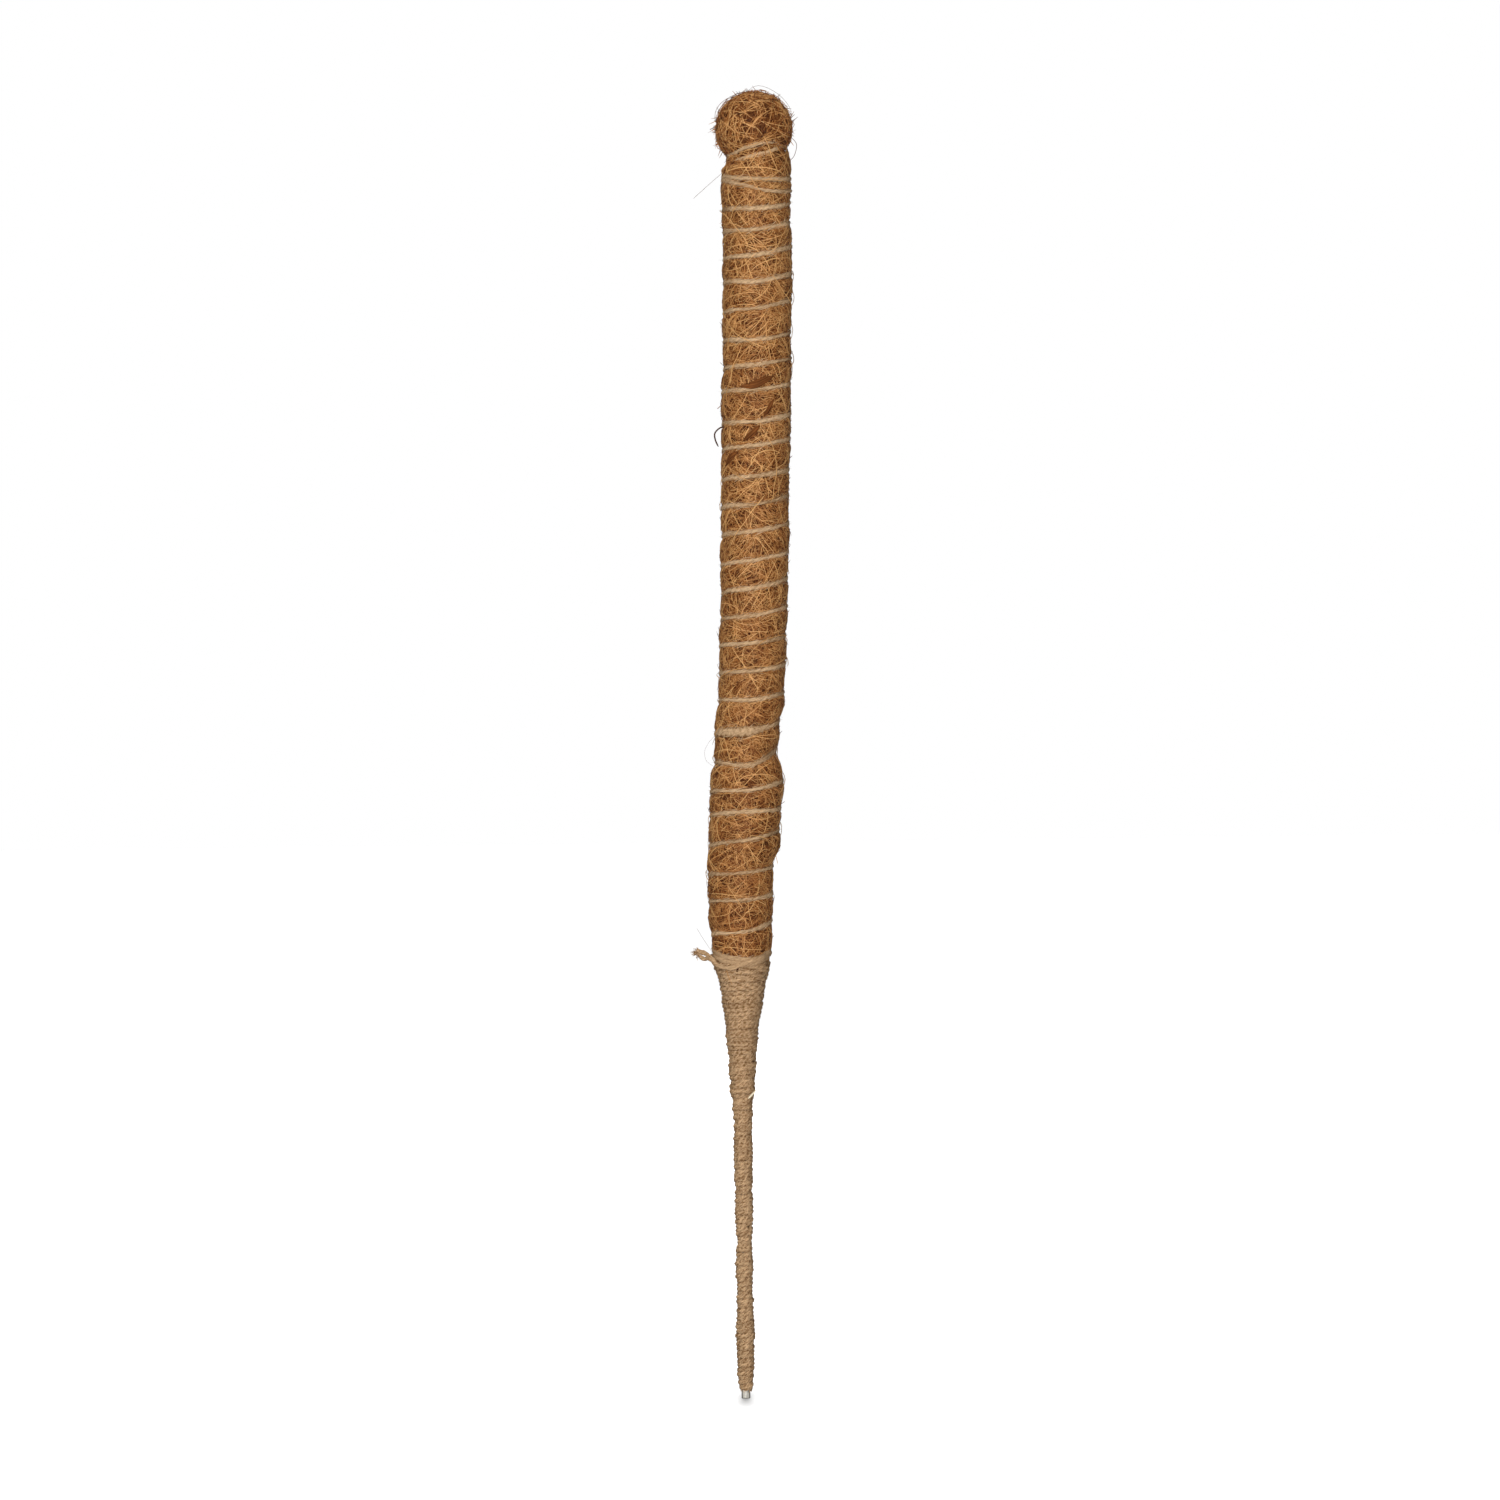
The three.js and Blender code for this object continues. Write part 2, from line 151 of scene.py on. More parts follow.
# Heights at which the column's twine is seen at the left, the front and the right of each turn
TWINE_PASSES = [
    (213.4, 213.9, 217.4), (228.3, 228.6, 230.6), (240.8, 241.0, 243.0), (254.5, 256.0, 259.5),
    (268.2, 269.3, 270.2), (279.0, 279.1, 282.2), (292.0, 290.6, 295.8), (305.6, 306.0, 309.2),
    (320.6, 320.5, 322.9), (333.2, 333.7, 335.9), (345.9, 346.5, 349.1), (358.0, 359.3, 362.4),
    (370.3, 371.9, 375.0), (383.0, 384.7, 387.4), (396.6, 397.9, 400.6), (409.4, 410.3, 413.2),
    (422.0, 423.3, 425.4), (435.8, 437.3, 439.6), (447.9, 448.2, 450.7), (462.3, 462.9, 464.8),
    (473.1, 474.6, 476.5), (485.7, 485.8, 488.1), (499.0, 500.3, 503.2), (512.4, 512.6, 515.2),
    (523.7, 524.8, 527.7), (535.8, 536.4, 538.8),
]
PASS_TURNS = (0.33, 0.5, 0.67)
CLOSING_TURNS = [
    (26.33, 545.8), (26.5, 546.1), (26.67, 547.4), (27.0, 553.5), (27.3, 559.0), (27.42, 557.4),
    (27.52, 554.9), (27.6, 553.8), (27.7, 553.8), (28.0, 557.0), (28.3, 560.6), (28.45, 559.8),
    (28.55, 559.4), (28.7, 559.2), (29.0, 562.0),
]
TWINE_START = (-0.2, 204.6)
NECK_TIE = [
    (0.1, 568.0), (0.335, 567.3), (0.46, 569.8), (0.53, 571.3), (0.68, 574.7), (0.85, 574.2), (1.1, 571.0),
    (1.25, 570.0), (1.373, 571.6), (1.46, 574.4), (1.57, 576.4), (1.68, 575.0), (1.85, 573.4),
]
NECK_TIE_RADIUS = 14.6

# Single fibres seen at the front: course as distance right of the middle and height, radius, tone
FRONT_STRANDS = [
    ([(-6.1, 591.6), (-7.4, 585.2), (-6.5, 581.0), (-2.7, 579.2), (0.6, 577.8)], 0.2, 0.88),
    ([(-2.9, 588.3), (-2.1, 585.2), (1.8, 583.8), (4.1, 581.0), (5.1, 578.8)], 0.18, 0.88),
    ([(-0.3, 597.2), (4.1, 594.7), (7.8, 591.9), (8.8, 590.5)], 0.18, 0.85),
    ([(12.3, 591.9), (7.3, 589.4), (3.1, 586.2), (0.9, 584.1)], 0.18, 0.85),
    ([(-1.0, 590.8), (2.3, 592.9), (6.3, 595.1), (11.0, 596.0)], 0.18, 0.85),
    ([(13.8, 585.2), (12.0, 581.6), (8.7, 579.2), (5.5, 577.8)], 0.2, 0.88),
    ([(-3.8, 583.8), (-3.5, 581.6), (-1.9, 579.5), (1.0, 577.8)], 0.17, 0.85),
    ([(-14.4, 580.3), (-11.5, 584.1), (-8.0, 587.3), (-5.5, 589.1)], 0.18, 0.82),
    ([(5.4, 578.8), (6.6, 574.2), (7.1, 569.3), (9.0, 563.7)], 0.24, 0.95),
    ([(-15.0, 563.0), (-9.3, 564.7), (-2.9, 565.0), (4.1, 564.7), (10.4, 563.0)], 0.24, 0.98),
    ([(-9.0, 531.6), (-5.4, 522.0), (-1.6, 512.6)], 0.22, 0.9),
    ([(7.2, 543.8), (10.4, 538.8), (13.4, 533.2)], 0.22, 0.95),
    ([(-1.4, 427.6), (-1.8, 431.0), (0.8, 433.3), (4.5, 434.9), (8.3, 434.9), (11.3, 433.6)], 0.22, 0.95),
    ([(-11.5, 446.0), (-12.1, 442.8), (-11.1, 438.7)], 0.22, 0.92),
    ([(-3.2, 445.4), (-4.8, 442.2), (-5.7, 437.7)], 0.24, 1.0),
    ([(6.0, 447.0), (7.0, 444.4), (8.9, 440.3)], 0.2, 0.92),
    ([(-13.2, 429.5), (-12.6, 432.7), (-10.4, 434.6)], 0.2, 0.92),
    ([(0.8, 450.5), (4.3, 453.6), (7.4, 456.5)], 0.22, 0.9),
    ([(-6.8, 197.0), (-5.8, 193.2), (-4.2, 189.8)], 0.2, 0.7),
    ([(-1.5, 197.5), (-2.0, 195.7)], 0.55, 0.0),
]
# Hairs that leave the outline: course, radius, tone
LOOSE_HAIRS = [
    ([(-4.6, -4.0, 561.9), (-11.5, -4.6, 555.9), (-18.0, -4.2, 550.2)], 0.09, 0.12),
    ([(-13.0, -4.0, 204.8), (-17.2, -3.6, 211.2), (-20.2, -3.2, 216.2)], 0.08, 0.1),
    ([(26.0, -6.0, 578.6), (29.6, -6.2, 574.6), (28.6, -5.6, 569.4), (26.4, -4.8, 567.0)], 0.14, 0.1),
    ([(-4.6, -3.0, 445.9), (-7.1, -3.0, 445.1), (-9.3, -3.2, 442.7), (-9.0, -3.0, 439.5),
      (-7.7, -2.6, 436.6)], 0.4, 0.0),
    ([(-3.9, -3.0, 139.3), (-6.2, -3.4, 138.3), (-8.6, -3.6, 138.2)], 0.14, 0.05),
    ([(15.3, -3.0, 251.5), (16.4, -3.5, 249.0), (17.4, -3.6, 245.0)], 0.15, 0.9),
    ([(-5.0, -3.0, 456.2), (-6.8, -3.2, 455.0), (-8.0, -3.0, 453.9)], 0.18, 0.3),
    ([(-6.4, -3.0, 583.3), (-8.4, -3.2, 582.7), (-10.0, -3.2, 581.9)], 0.2, 0.1),
    ([(5.6, -1.0, 597.0), (8.4, -1.0, 600.6), (12.0, -1.0, 602.2), (15.5, -1.0, 601.6), (18.8, -1.0, 600.0),
      (21.9, -1.0, 597.9), (24.6, -1.0, 595.2), (26.6, -1.0, 592.2), (27.5, -1.0, 589.2),
      (26.6, -1.0, 586.4)], 0.08, 0.1),
    ([(7.6, -1.0, 598.0), (5.0, -1.0, 599.4), (-1.5, -1.0, 596.6), (-5.0, -1.0, 594.1), (-7.2, -1.0, 590.8),
      (-7.5, -1.0, 586.6), (-6.0, -1.0, 583.6)], 0.12, 0.15),
    ([(-9.4, -3.0, 305.4), (-13.4, -3.2, 301.4), (-15.6, -3.2, 297.0), (-14.6, -3.2, 292.4),
      (-10.2, -3.0, 289.4)], 0.05, 0.1),
]

# How far the light takes matted fibres as one surface, from 0 to 1
MATTED = 0.88
HALF_MATTED = 0.4
STRAND_SIDES = 3
STRAND_END = 0.35
# Rows of the map: for fibres alone, and for the fibres of a mesh that also holds twine
FIBRE_ROWS = (0.02, 0.98)
HAIR_ROWS = (0.95, 0.99)
# Across the map: its margin and width for a fibre's tone, and the width of a fibre's face there
TONE_MARGIN, TONE_WIDTH, TONE_FACE = 0.02, 0.96, 0.001
# Places of a tube on the map: margin, width and height of its rows, and level and size of its two ends
MAP_MARGIN, MAP_WIDTH, TUBE_HEIGHT = 0.01, 0.98, 0.89
END_PLACES, END_LEVEL, END_SIZE = (0.1, 0.3), 0.925, 0.02

# Steps that keep points evenly apart, up and round the column
EVEN_STEPS = np.array([0.7548776662, 0.5698402910])

CAMERA_DISTANCE = 2000.0
CAMERA_HEIGHT = 297.45
CAMERA_X = 5.2


def smooth(share):
    share = np.clip(share, 0, 1)
    return share * share * (3 - 2 * share)


def eased(stops, height):
    """A value at a height, eased between the stops of a list."""
    places, values = np.array(stops, float).T
    height = np.asarray(height, float)
    low = np.clip(np.searchsorted(places, height) - 1, 0, len(places) - 2)
    share = smooth((height - places[low]) / (places[low + 1] - places[low]))
    return values[low] + (values[low + 1] - values[low]) * share


def flowing(stops, at):
    """A value at a place on the smooth curve through the stops of a list."""
    places, values = np.array(stops, float).T
    slopes = np.gradient(values, places)
    at = np.clip(np.asarray(at, float), places[0], places[-1])
    low = np.clip(np.searchsorted(places, at) - 1, 0, len(places) - 2)
    gap = places[low + 1] - places[low]
    t = (at - places[low]) / gap
    return (
        values[low] * (1 + 2 * t) * (1 - t) ** 2
        + slopes[low] * gap * t * (1 - t) ** 2
        + values[low + 1] * t * t * (3 - 2 * t)
        + slopes[low + 1] * gap * t * t * (t - 1)
    )


def curve_through(points, steps):
    """Points on the smooth curve through a few given ones."""
    stops, share = np.linspace(0, 1, len(points)), np.linspace(0, 1, steps)
    return np.stack([flowing(list(zip(stops, axis)), share) for axis in zip(*points)], -1)


def wander(rng, at, gap, end, mean, spread, one_sided=False):
    """A value that wanders along a length, drawn anew at every gap up to its end."""
    knots = np.arange(0, end, gap)
    values = rng.normal(mean, spread, len(knots))
    return np.interp(at, knots, np.abs(values) if one_sided else values)


def ripple(wave, table, turn, height):
    """Sum of waves that run round and up the pole."""
    total = 0.0
    for times, length, start, size in table:
        total = total + size * wave(TAU * (times * turn + height / length) + start)
    return total


def unit(vectors):
    return vectors / np.maximum(np.linalg.norm(vectors, axis=-1, keepdims=True), 1e-12)


def section_leans():
    """Lean of each length of the pole towards +X, the crown's last."""
    leans = [0.0]
    for low, high in zip(HINGES, HINGES[1:]):
        leans.append(math.atan2(high.x - low.x, high.z - low.z))
    leans.append(leans[-1])
    return leans


LEANS = section_leans()


def lean_at(height):
    lean = np.zeros_like(np.asarray(height, float))
    for number, middle in enumerate(HINGE_HEIGHTS):
        bend = LEANS[number + 1] - LEANS[number]
        lean = lean + bend * smooth((height - middle + BEND_REACH) / (2 * BEND_REACH))
    low, high = HEAD_TILT_REACH
    return lean + HEAD_TILT * smooth((height - low) / (high - low))


def middle_line():
    """Heights every half millimetre, and the X and Z of the pole's middle there."""
    heights = np.arange(0, POLE_TOP + 20, 0.5)
    leans = lean_at(heights)
    across = np.concatenate([[0], np.cumsum((np.sin(leans[1:]) + np.sin(leans[:-1])) / 4)])
    up = np.concatenate([[0], np.cumsum((np.cos(leans[1:]) + np.cos(leans[:-1])) / 4)])
    return heights, across, up


LINE_HEIGHTS, LINE_X, LINE_Z = middle_line()


def outward(turn, height):
    """The direction straight out of the pole at a turn and a height."""
    lean = lean_at(height)
    side = -np.sin(TAU * turn)
    return np.stack([side * np.cos(lean), np.cos(TAU * turn) + 0 * lean, -side * np.sin(lean)], -1)


def pole_point(turn, radius, height, shifted=True):
    """A point off the pole's middle, at turns round from the back: left, front, right."""
    turn, radius, height = np.broadcast_arrays(turn, radius, np.asarray(height, float))
    lean = lean_at(height)
    shift = eased(COIR_SHIFTS, height) if shifted else np.zeros_like(height)
    x = np.interp(height, LINE_HEIGHTS, LINE_X) + shift * np.cos(lean)
    z = np.interp(height, LINE_HEIGHTS, LINE_Z) - shift * np.sin(lean)
    return np.stack([x, np.zeros_like(height), z], -1) + outward(turn, height) * radius[..., None]


def pole_height(turn, seen, radius):
    """Height along the pole of a point on it that the camera sees level with a height on the middle."""
    turn, seen = np.asarray(turn, float), np.asarray(seen, float)
    nearer = -np.cos(TAU * turn) * radius
    level = CAMERA_HEIGHT + (seen - CAMERA_HEIGHT) * (1 - nearer / CAMERA_DISTANCE)
    height = level
    for _ in range(3):
        rise = np.sin(TAU * turn) * radius * np.sin(lean_at(height))
        height = np.interp(level - rise, LINE_Z, LINE_HEIGHTS)
    return height


def winding_stops():
    """Turn and height of the column's twine."""
    seen = [TWINE_START]
    for number, heights in enumerate(TWINE_PASSES):
        seen.extend((number + turn, height) for turn, height in zip(PASS_TURNS, heights))
    turns, heights = np.array(seen + CLOSING_TURNS).T
    return list(zip(turns, pole_height(turns, heights, eased(COIR_RADII, heights))))


WINDING = winding_stops()
TWINE_FIRST_TURN, TWINE_LAST_TURN = WINDING[0][0], WINDING[-1][0]


def off_twine(turn, height):
    """Distance up or down the pole to the nearest turn of the column's twine."""
    part = np.mod(turn, 1)
    nearest = np.full(np.shape(part), 1e3)
    for number in range(math.floor(TWINE_FIRST_TURN), math.ceil(TWINE_LAST_TURN)):
        there = number + part
        gap = np.abs(height - flowing(WINDING, there))
        wound = (there >= TWINE_FIRST_TURN) & (there <= TWINE_LAST_TURN)
        nearest = np.where(wound, np.minimum(nearest, gap), nearest)
    return nearest


def near_twine(turn, height, size, reach):
    """A size at the column's twine that dies away above and below it."""
    return size * np.exp(-((off_twine(turn, height) / reach) ** 2))


def neck_hollow(turn, height):
    """How far the tie draws the coir in at the left of the neck."""
    left = np.maximum(0, np.cos(TAU * (turn - HOLLOW_TURN))) ** 2
    return HOLLOW_DEPTH * left * smooth((height - HOLLOW_START) / HOLLOW_RISE)


def coir_radius(turn, height):
    """Radius of the coir: the twine draws it in, and it swells between the turns."""
    drawn = near_twine(turn, height, DRAWN_DEPTH, DRAWN_REACH) * smooth((height - COLLAR) / 6)
    drawn = drawn + neck_hollow(turn, height)
    uneven = (ripple(np.cos, LUMPS, turn, height) + LUMP_MEAN) * smooth((height - COLLAR + 3) / 12)
    return eased(COIR_RADII, height) + uneven - drawn


def head_point(direction, out=0.0):
    """A point on the round head, in a direction from its middle."""
    middle = pole_point(0.0, 0.0, HEAD_MIDDLE)
    return middle + direction * (HEAD_RADIUS + np.asarray(out))[..., None]


HEAD_AXIS = np.array([math.sin(float(lean_at(HEAD_MIDDLE))), 0, math.cos(float(lean_at(HEAD_MIDDLE)))])


def front_depth(x, z):
    """How far the coir or the wrap comes towards the camera from the pole's middle plane."""
    height = np.interp(z, LINE_Z, LINE_HEIGHTS)
    off = x - np.interp(height, LINE_HEIGHTS, LINE_X) - eased(COIR_SHIFTS, height)
    coir = coir_radius(0.5 + 0 * off, np.minimum(height, NECK))
    body = np.where(height < COLLAR, eased(TAPER_RADII, height), coir)
    body = np.where(height > NECK + 2, 0, body)
    middle = head_point(np.zeros(3), -HEAD_RADIUS)
    around = HEAD_RADIUS**2 - (x - middle[0]) ** 2 - (z - middle[2]) ** 2
    return np.sqrt(np.maximum(np.maximum(body**2 - off**2, around), 0.3))


def front_path(points, lift, steps):
    """Points on the front where the camera sees a course of places, each right of the middle and up."""
    right, seen_z = curve_through(points, steps).T
    seen_x = right + np.interp(seen_z, LINE_Z, LINE_X)
    x, z, depth = seen_x, seen_z, 0.0
    for _ in range(3):
        depth = front_depth(x, z) + lift
        x = CAMERA_X + (seen_x - CAMERA_X) * (1 - depth / CAMERA_DISTANCE)
        z = CAMERA_HEIGHT + (seen_z - CAMERA_HEIGHT) * (1 - depth / CAMERA_DISTANCE)
    return np.stack([x, -depth, z], -1)


def ring_faces(index):
    """Faces between each ring of points and the next."""
    here, there = index[..., :-1, :], index[..., 1:, :]
    return np.stack([here, np.roll(here, -1, -1), np.roll(there, -1, -1), there], -1).reshape(-1, 4)


class Shape:
    """Vertices, faces, map and strand values of a mesh that is being put together."""

    def __init__(self):
        self.points, self.faces, self.maps = [], [], []
        self.tones, self.strands, self.facings = [], [], []
        self.count = 0

    def add(self, points, faces, maps, tones=None, strands=None, facings=None):
        """Adds points with sets of faces, and a place on the map for each corner of each face."""
        points = np.asarray(points, float).reshape(-1, 3)
        for face, place in zip(faces, maps):
            self.faces.append(np.asarray(face, np.int64) + self.count)
            self.maps.append(np.asarray(place, float).reshape(-1, 2))
        self.points.append(points)
        self.tones.append(np.zeros(len(points)) if tones is None else np.asarray(tones, float).ravel())
        self.strands.append(points if strands is None else np.asarray(strands, float).reshape(-1, 3))
        self.facings.append(0 * points if facings is None else np.asarray(facings, float).reshape(-1, 3))
        self.count += len(points)

    def add_tube(self, points, rows, tones=None, strands=None):
        """Adds a tube of rings with closed ends; the map lays it out in rows, with the ends above them."""
        steps, sides = points.shape[:2]
        index = np.arange(steps * sides).reshape(steps, sides)
        per_row = math.ceil((steps - 1) / rows)
        row, column = np.divmod(np.arange(steps - 1), per_row)
        u = (column[:, None, None] + np.array([0, 0, 1, 1])) / per_row
        lane = np.arange(sides)[None, :, None] + np.array([0, 1, 1, 0])
        v = (row[:, None, None] + 0.04 + 0.92 * lane / sides) / rows
        faces = [ring_faces(index), index[:1, ::-1], index[-1:]]
        u, v = np.broadcast_arrays(MAP_MARGIN + MAP_WIDTH * u, MAP_MARGIN + TUBE_HEIGHT * v)
        maps = [np.stack([u, v], -1)]
        angle = TAU * np.arange(sides) / sides
        ring = END_SIZE * np.stack([np.cos(angle), np.sin(angle)], -1)
        maps.extend(ring + [place, END_LEVEL] for place in END_PLACES)
        self.add(points, faces, maps, tones, strands)

    def build(self, name, material):
        """Makes the object, in metres."""
        mesh = bpy.data.meshes.new(name)
        points = np.concatenate(self.points)
        mesh.vertices.add(len(points))
        mesh.vertices.foreach_set("co", (points * MM).astype(np.float32).ravel())
        corners = np.concatenate([face.ravel() for face in self.faces])
        sizes = np.concatenate([np.full(len(face), face.shape[1]) for face in self.faces])
        mesh.loops.add(len(corners))
        mesh.loops.foreach_set("vertex_index", corners.astype(np.int32))
        mesh.polygons.add(len(sizes))
        mesh.polygons.foreach_set("loop_start", (np.cumsum(sizes) - sizes).astype(np.int32))
        mesh.polygons.foreach_set("use_smooth", np.ones(len(sizes), bool))
        layer = mesh.uv_layers.new(name="OFBake")
        layer.data.foreach_set("uv", np.concatenate(self.maps).astype(np.float32).ravel())
        tone = mesh.attributes.new("tone", "FLOAT", "POINT")
        tone.data.foreach_set("value", np.concatenate(self.tones).astype(np.float32))
        strand = mesh.attributes.new("strand", "FLOAT_VECTOR", "POINT")
        strand.data.foreach_set("vector", np.concatenate(self.strands).astype(np.float32).ravel())
        mesh.materials.append(material)
        mesh.update(calc_edges=True)
        if mesh.validate():
            raise RuntimeError(f"{name} has faces that can't be made")
        facings = np.concatenate(self.facings)
        if facings.any():
            mesh.normals_split_custom_set_from_vertices(facings)
        piece = bpy.data.objects.new(name, mesh)
        bpy.context.scene.collection.objects.link(piece)
        return piece


def strand_tubes(shape, paths, normals, radii, tones, rows=FIBRE_ROWS, matted=MATTED):
    """Adds fibres: paths of the same number of points each, thinning towards their closed ends.

    A fibre's colour follows its tone alone, so its place on the map does too.
    """
    count, steps = paths.shape[:2]
    along = unit(np.gradient(paths, axis=1))
    across = unit(np.cross(normals, along))
    normals = np.cross(along, across)
    thin = np.ones(steps)
    thin[[0, -1]] = STRAND_END
    size = radii[:, None] * thin
    angle = (TAU * np.arange(STRAND_SIDES) / STRAND_SIDES + math.pi / 2)[:, None]
    ways = np.cos(angle) * across[:, :, None] + np.sin(angle) * normals[:, :, None]
    points = paths[:, :, None] + size[..., None, None] * ways
    facings = unit((1 - matted) * ways + matted * normals[:, :, None])
    index = np.arange(count * steps * STRAND_SIDES).reshape(count, steps, STRAND_SIDES)
    quads = ring_faces(index)
    caps = np.concatenate([index[:, 0, ::-1], index[:, -1]])
    u = np.broadcast_to(TONE_MARGIN + TONE_WIDTH * tones[:, None, None], index.shape).ravel()
    v = np.broadcast_to(np.linspace(*rows, steps)[None, :, None], index.shape).ravel()
    places = np.stack([u[quads] + TONE_FACE * np.array([0, 0, 1, 1]), v[quads]], -1)
    cap_corners = TONE_FACE * np.array([(0, 0), (1, 1), (2, 0)])
    cap_places = np.stack([u[caps], v[caps]], -1) + cap_corners
    tones = np.repeat(tones, steps * STRAND_SIDES)
    shape.add(points, [quads, caps], [places, cap_places], tones, 0 * points, facings)


def single_strand(shape, path, normals, radius, tone, **options):
    strand_tubes(shape, path[None], normals[None], np.array([radius]), np.array([tone]), **options)


def drawn_tones(rng, count, mean, spread, least, most, change=0.0):
    return np.clip(rng.normal(mean, spread, count) + change, least, most)


class Twine:
    """Twine along a path: two plies laid up together, flattened where it lies on what it binds."""

    SIDES = 14
    SWELL_GAP = 1.7
    SWELL = 0.1
    GROOVE_WIDTH = 0.45
    GROOVE_DEPTH = 0.2
    # Fibres that show as ridges: their size, number round the twine, and turn with its length
    RIDGES = (0.05, 7, 0.9)
    # Scale of the grain, round the twine and along it
    GRAIN_ROUND = 2.2
    GRAIN_ALONG = 0.16

    def __init__(self, centres, outs, widths, thicks, lay, rng, flat=0.8, pale=0.8, marks=0.45, edges=0.35):
        self.centres = centres
        self.widths = np.broadcast_to(widths, len(centres))
        self.thicks = np.broadcast_to(thicks, len(centres))
        self.along = unit(np.gradient(centres, axis=0))
        self.across = unit(np.cross(outs, self.along))
        self.outs = np.cross(self.along, self.across)
        self.length = np.concatenate([[0], np.cumsum(np.linalg.norm(np.diff(centres, axis=0), axis=1))])
        self.lay, self.flat, self.rng = lay, flat, rng
        self.pale = np.broadcast_to(pale, len(centres))
        self.marks, self.edges = marks, edges

    def add_to(self, shape, rows=8):
        angle = -math.pi / 2 + TAU * np.arange(self.SIDES) / self.SIDES
        ply = angle[None, :] + (TAU * self.length / self.lay + self.rng.uniform(0, TAU))[:, None]
        groove = np.exp(-((np.sin(ply) / self.GROOVE_WIDTH) ** 2))
        size, number, turning = self.RIDGES
        ridge = 1 - self.GROOVE_DEPTH * groove + size * np.cos(number * ply + turning * self.length[:, None])
        swell = wander(self.rng, self.length, self.SWELL_GAP, self.length[-1] + 4, 1, self.SWELL)
        bulge = np.sign(np.sin(angle)) * np.abs(np.sin(angle)) ** self.flat
        wide = (self.widths * swell / 2)[:, None] * np.cos(angle) * ridge
        thick = (self.thicks / 2)[:, None] * bulge * ridge
        points = self.centres[:, None] + wide[..., None] * self.across[:, None]
        points = points + thick[..., None] * self.outs[:, None]
        along = np.repeat(self.GRAIN_ALONG * self.length[:, None], self.SIDES, 1)
        strands = np.stack([self.GRAIN_ROUND * np.cos(ply), self.GRAIN_ROUND * np.sin(ply), along], -1)
        # Painted shade: the tone is darker in the grooves between the plies and towards the twine's sides
        between = self.edges * np.abs(np.cos(angle)) ** 3
        shape.add_tube(points, rows, self.pale[:, None] - self.marks * groove - between, strands)

    def add_hairs(self, shape, count, reach, lift, thickness, tones, spread, slant):
        """Adds loose fibres that lie on the outer side, along the twine, and lift at one end."""
        rng = self.rng
        share = np.linspace(0, 1, 4)
        total = self.length[-1]
        start = rng.uniform(0, total, count)
        way = rng.choice([-1, 1], count)
        size = rng.uniform(*reach, count) * way
        place = np.clip(start[:, None] + size[:, None] * share, 0, total)
        drift = way * rng.normal(slant, 0.45, count)
        side = rng.uniform(-spread, spread, count)[:, None] + drift[:, None] * share
        rise = np.abs(rng.normal(0, lift, count))[:, None] * share**2 + 0.6 * thickness

        def taken(values):
            return np.stack([np.interp(place, self.length, axis) for axis in values.T], -1)

        wide = np.interp(place, self.length, self.widths) / 2
        thick = np.interp(place, self.length, self.thicks) / 2
        height = thick * np.sqrt(np.maximum(0.1, 1 - np.clip(side, -1, 1) ** 2)) + rise
        outs = unit(taken(self.outs))
        paths = taken(self.centres) + (side * wide)[..., None] * taken(self.across)
        paths = paths + height[..., None] * outs
        worn = np.interp(start, self.length, self.pale) - np.mean(self.pale)
        shades = drawn_tones(rng, count, *tones, 0.03, 0.9, worn)
        strand_tubes(shape, paths, outs, thickness * rng.uniform(0.6, 1.2, count), shades, HAIR_ROWS)


def add_node(nodes, kind, inputs=None, **settings):
    """Adds a shader node with its settings and the values of its inputs."""
    node = nodes.new("ShaderNode" + kind)
    for name, value in settings.items():
        setattr(node, name, value)
    for socket, value in (inputs or {}).items():
        node.inputs[socket].default_value = value
    return node


def new_material(name, roughness, specular):
    material = bpy.data.materials.new(name)
    material.use_nodes = True
    shader = material.node_tree.nodes["Principled BSDF"]
    shader.inputs["Roughness"].default_value = roughness
    shader.inputs["Specular IOR Level"].default_value = specular
    return material, material.node_tree.nodes, material.node_tree.links, shader


def toned_material(name, roughness, specular, stops, grain=None, bump=None, gain=1.0, level=0.0):
    """A material coloured by a ramp over the tone of its strands.

    A grain (scale, detail, roughness) that runs with the strands changes the tone by a gain and a level,
    and stands up as a bump (strength, distance).
    """
    material, nodes, links, shader = new_material(name, roughness, specular)
    value = add_node(nodes, "Attribute", attribute_name="tone").outputs["Fac"]
    if grain:
        strand = add_node(nodes, "Attribute", attribute_name="strand")
        shares = dict(zip(("Scale", "Detail", "Roughness"), grain))
        noise = add_node(nodes, "TexNoise", shares, name="grain")
        links.new(strand.outputs["Vector"], noise.inputs["Vector"])
        change = add_node(nodes, "Math", {1: gain, 2: level}, operation="MULTIPLY_ADD")
        links.new(noise.outputs["Fac"], change.inputs[0])
        changed = add_node(nodes, "Math", operation="ADD")
        links.new(value, changed.inputs[0])
        links.new(change.outputs["Value"], changed.inputs[1])
        value = changed.outputs["Value"]
        strength, distance = bump
        raised = add_node(nodes, "Bump", {"Strength": strength, "Distance": distance})
        links.new(noise.outputs["Fac"], raised.inputs["Height"])
        links.new(raised.outputs["Normal"], shader.inputs["Normal"])
    ramp = add_node(nodes, "ValToRGB")
    while len(ramp.color_ramp.elements) < len(stops):
        ramp.color_ramp.elements.new(0.5)
    for element, (place, colour) in zip(ramp.color_ramp.elements, stops):
        element.position = place
        element.color = (*colour, 1)
    links.new(value, ramp.inputs["Fac"])
    links.new(ramp.outputs["Color"], shader.inputs["Base Color"])
    return material


def shade(colour, factor, warmth=0.0):
    """A colour made darker or lighter, and redder by a warmth."""
    tints = (1.0, 1.0 - warmth, 1.0 - 2 * warmth)
    return tuple(min(1.0, value * factor * tint) for value, tint in zip(colour, tints))


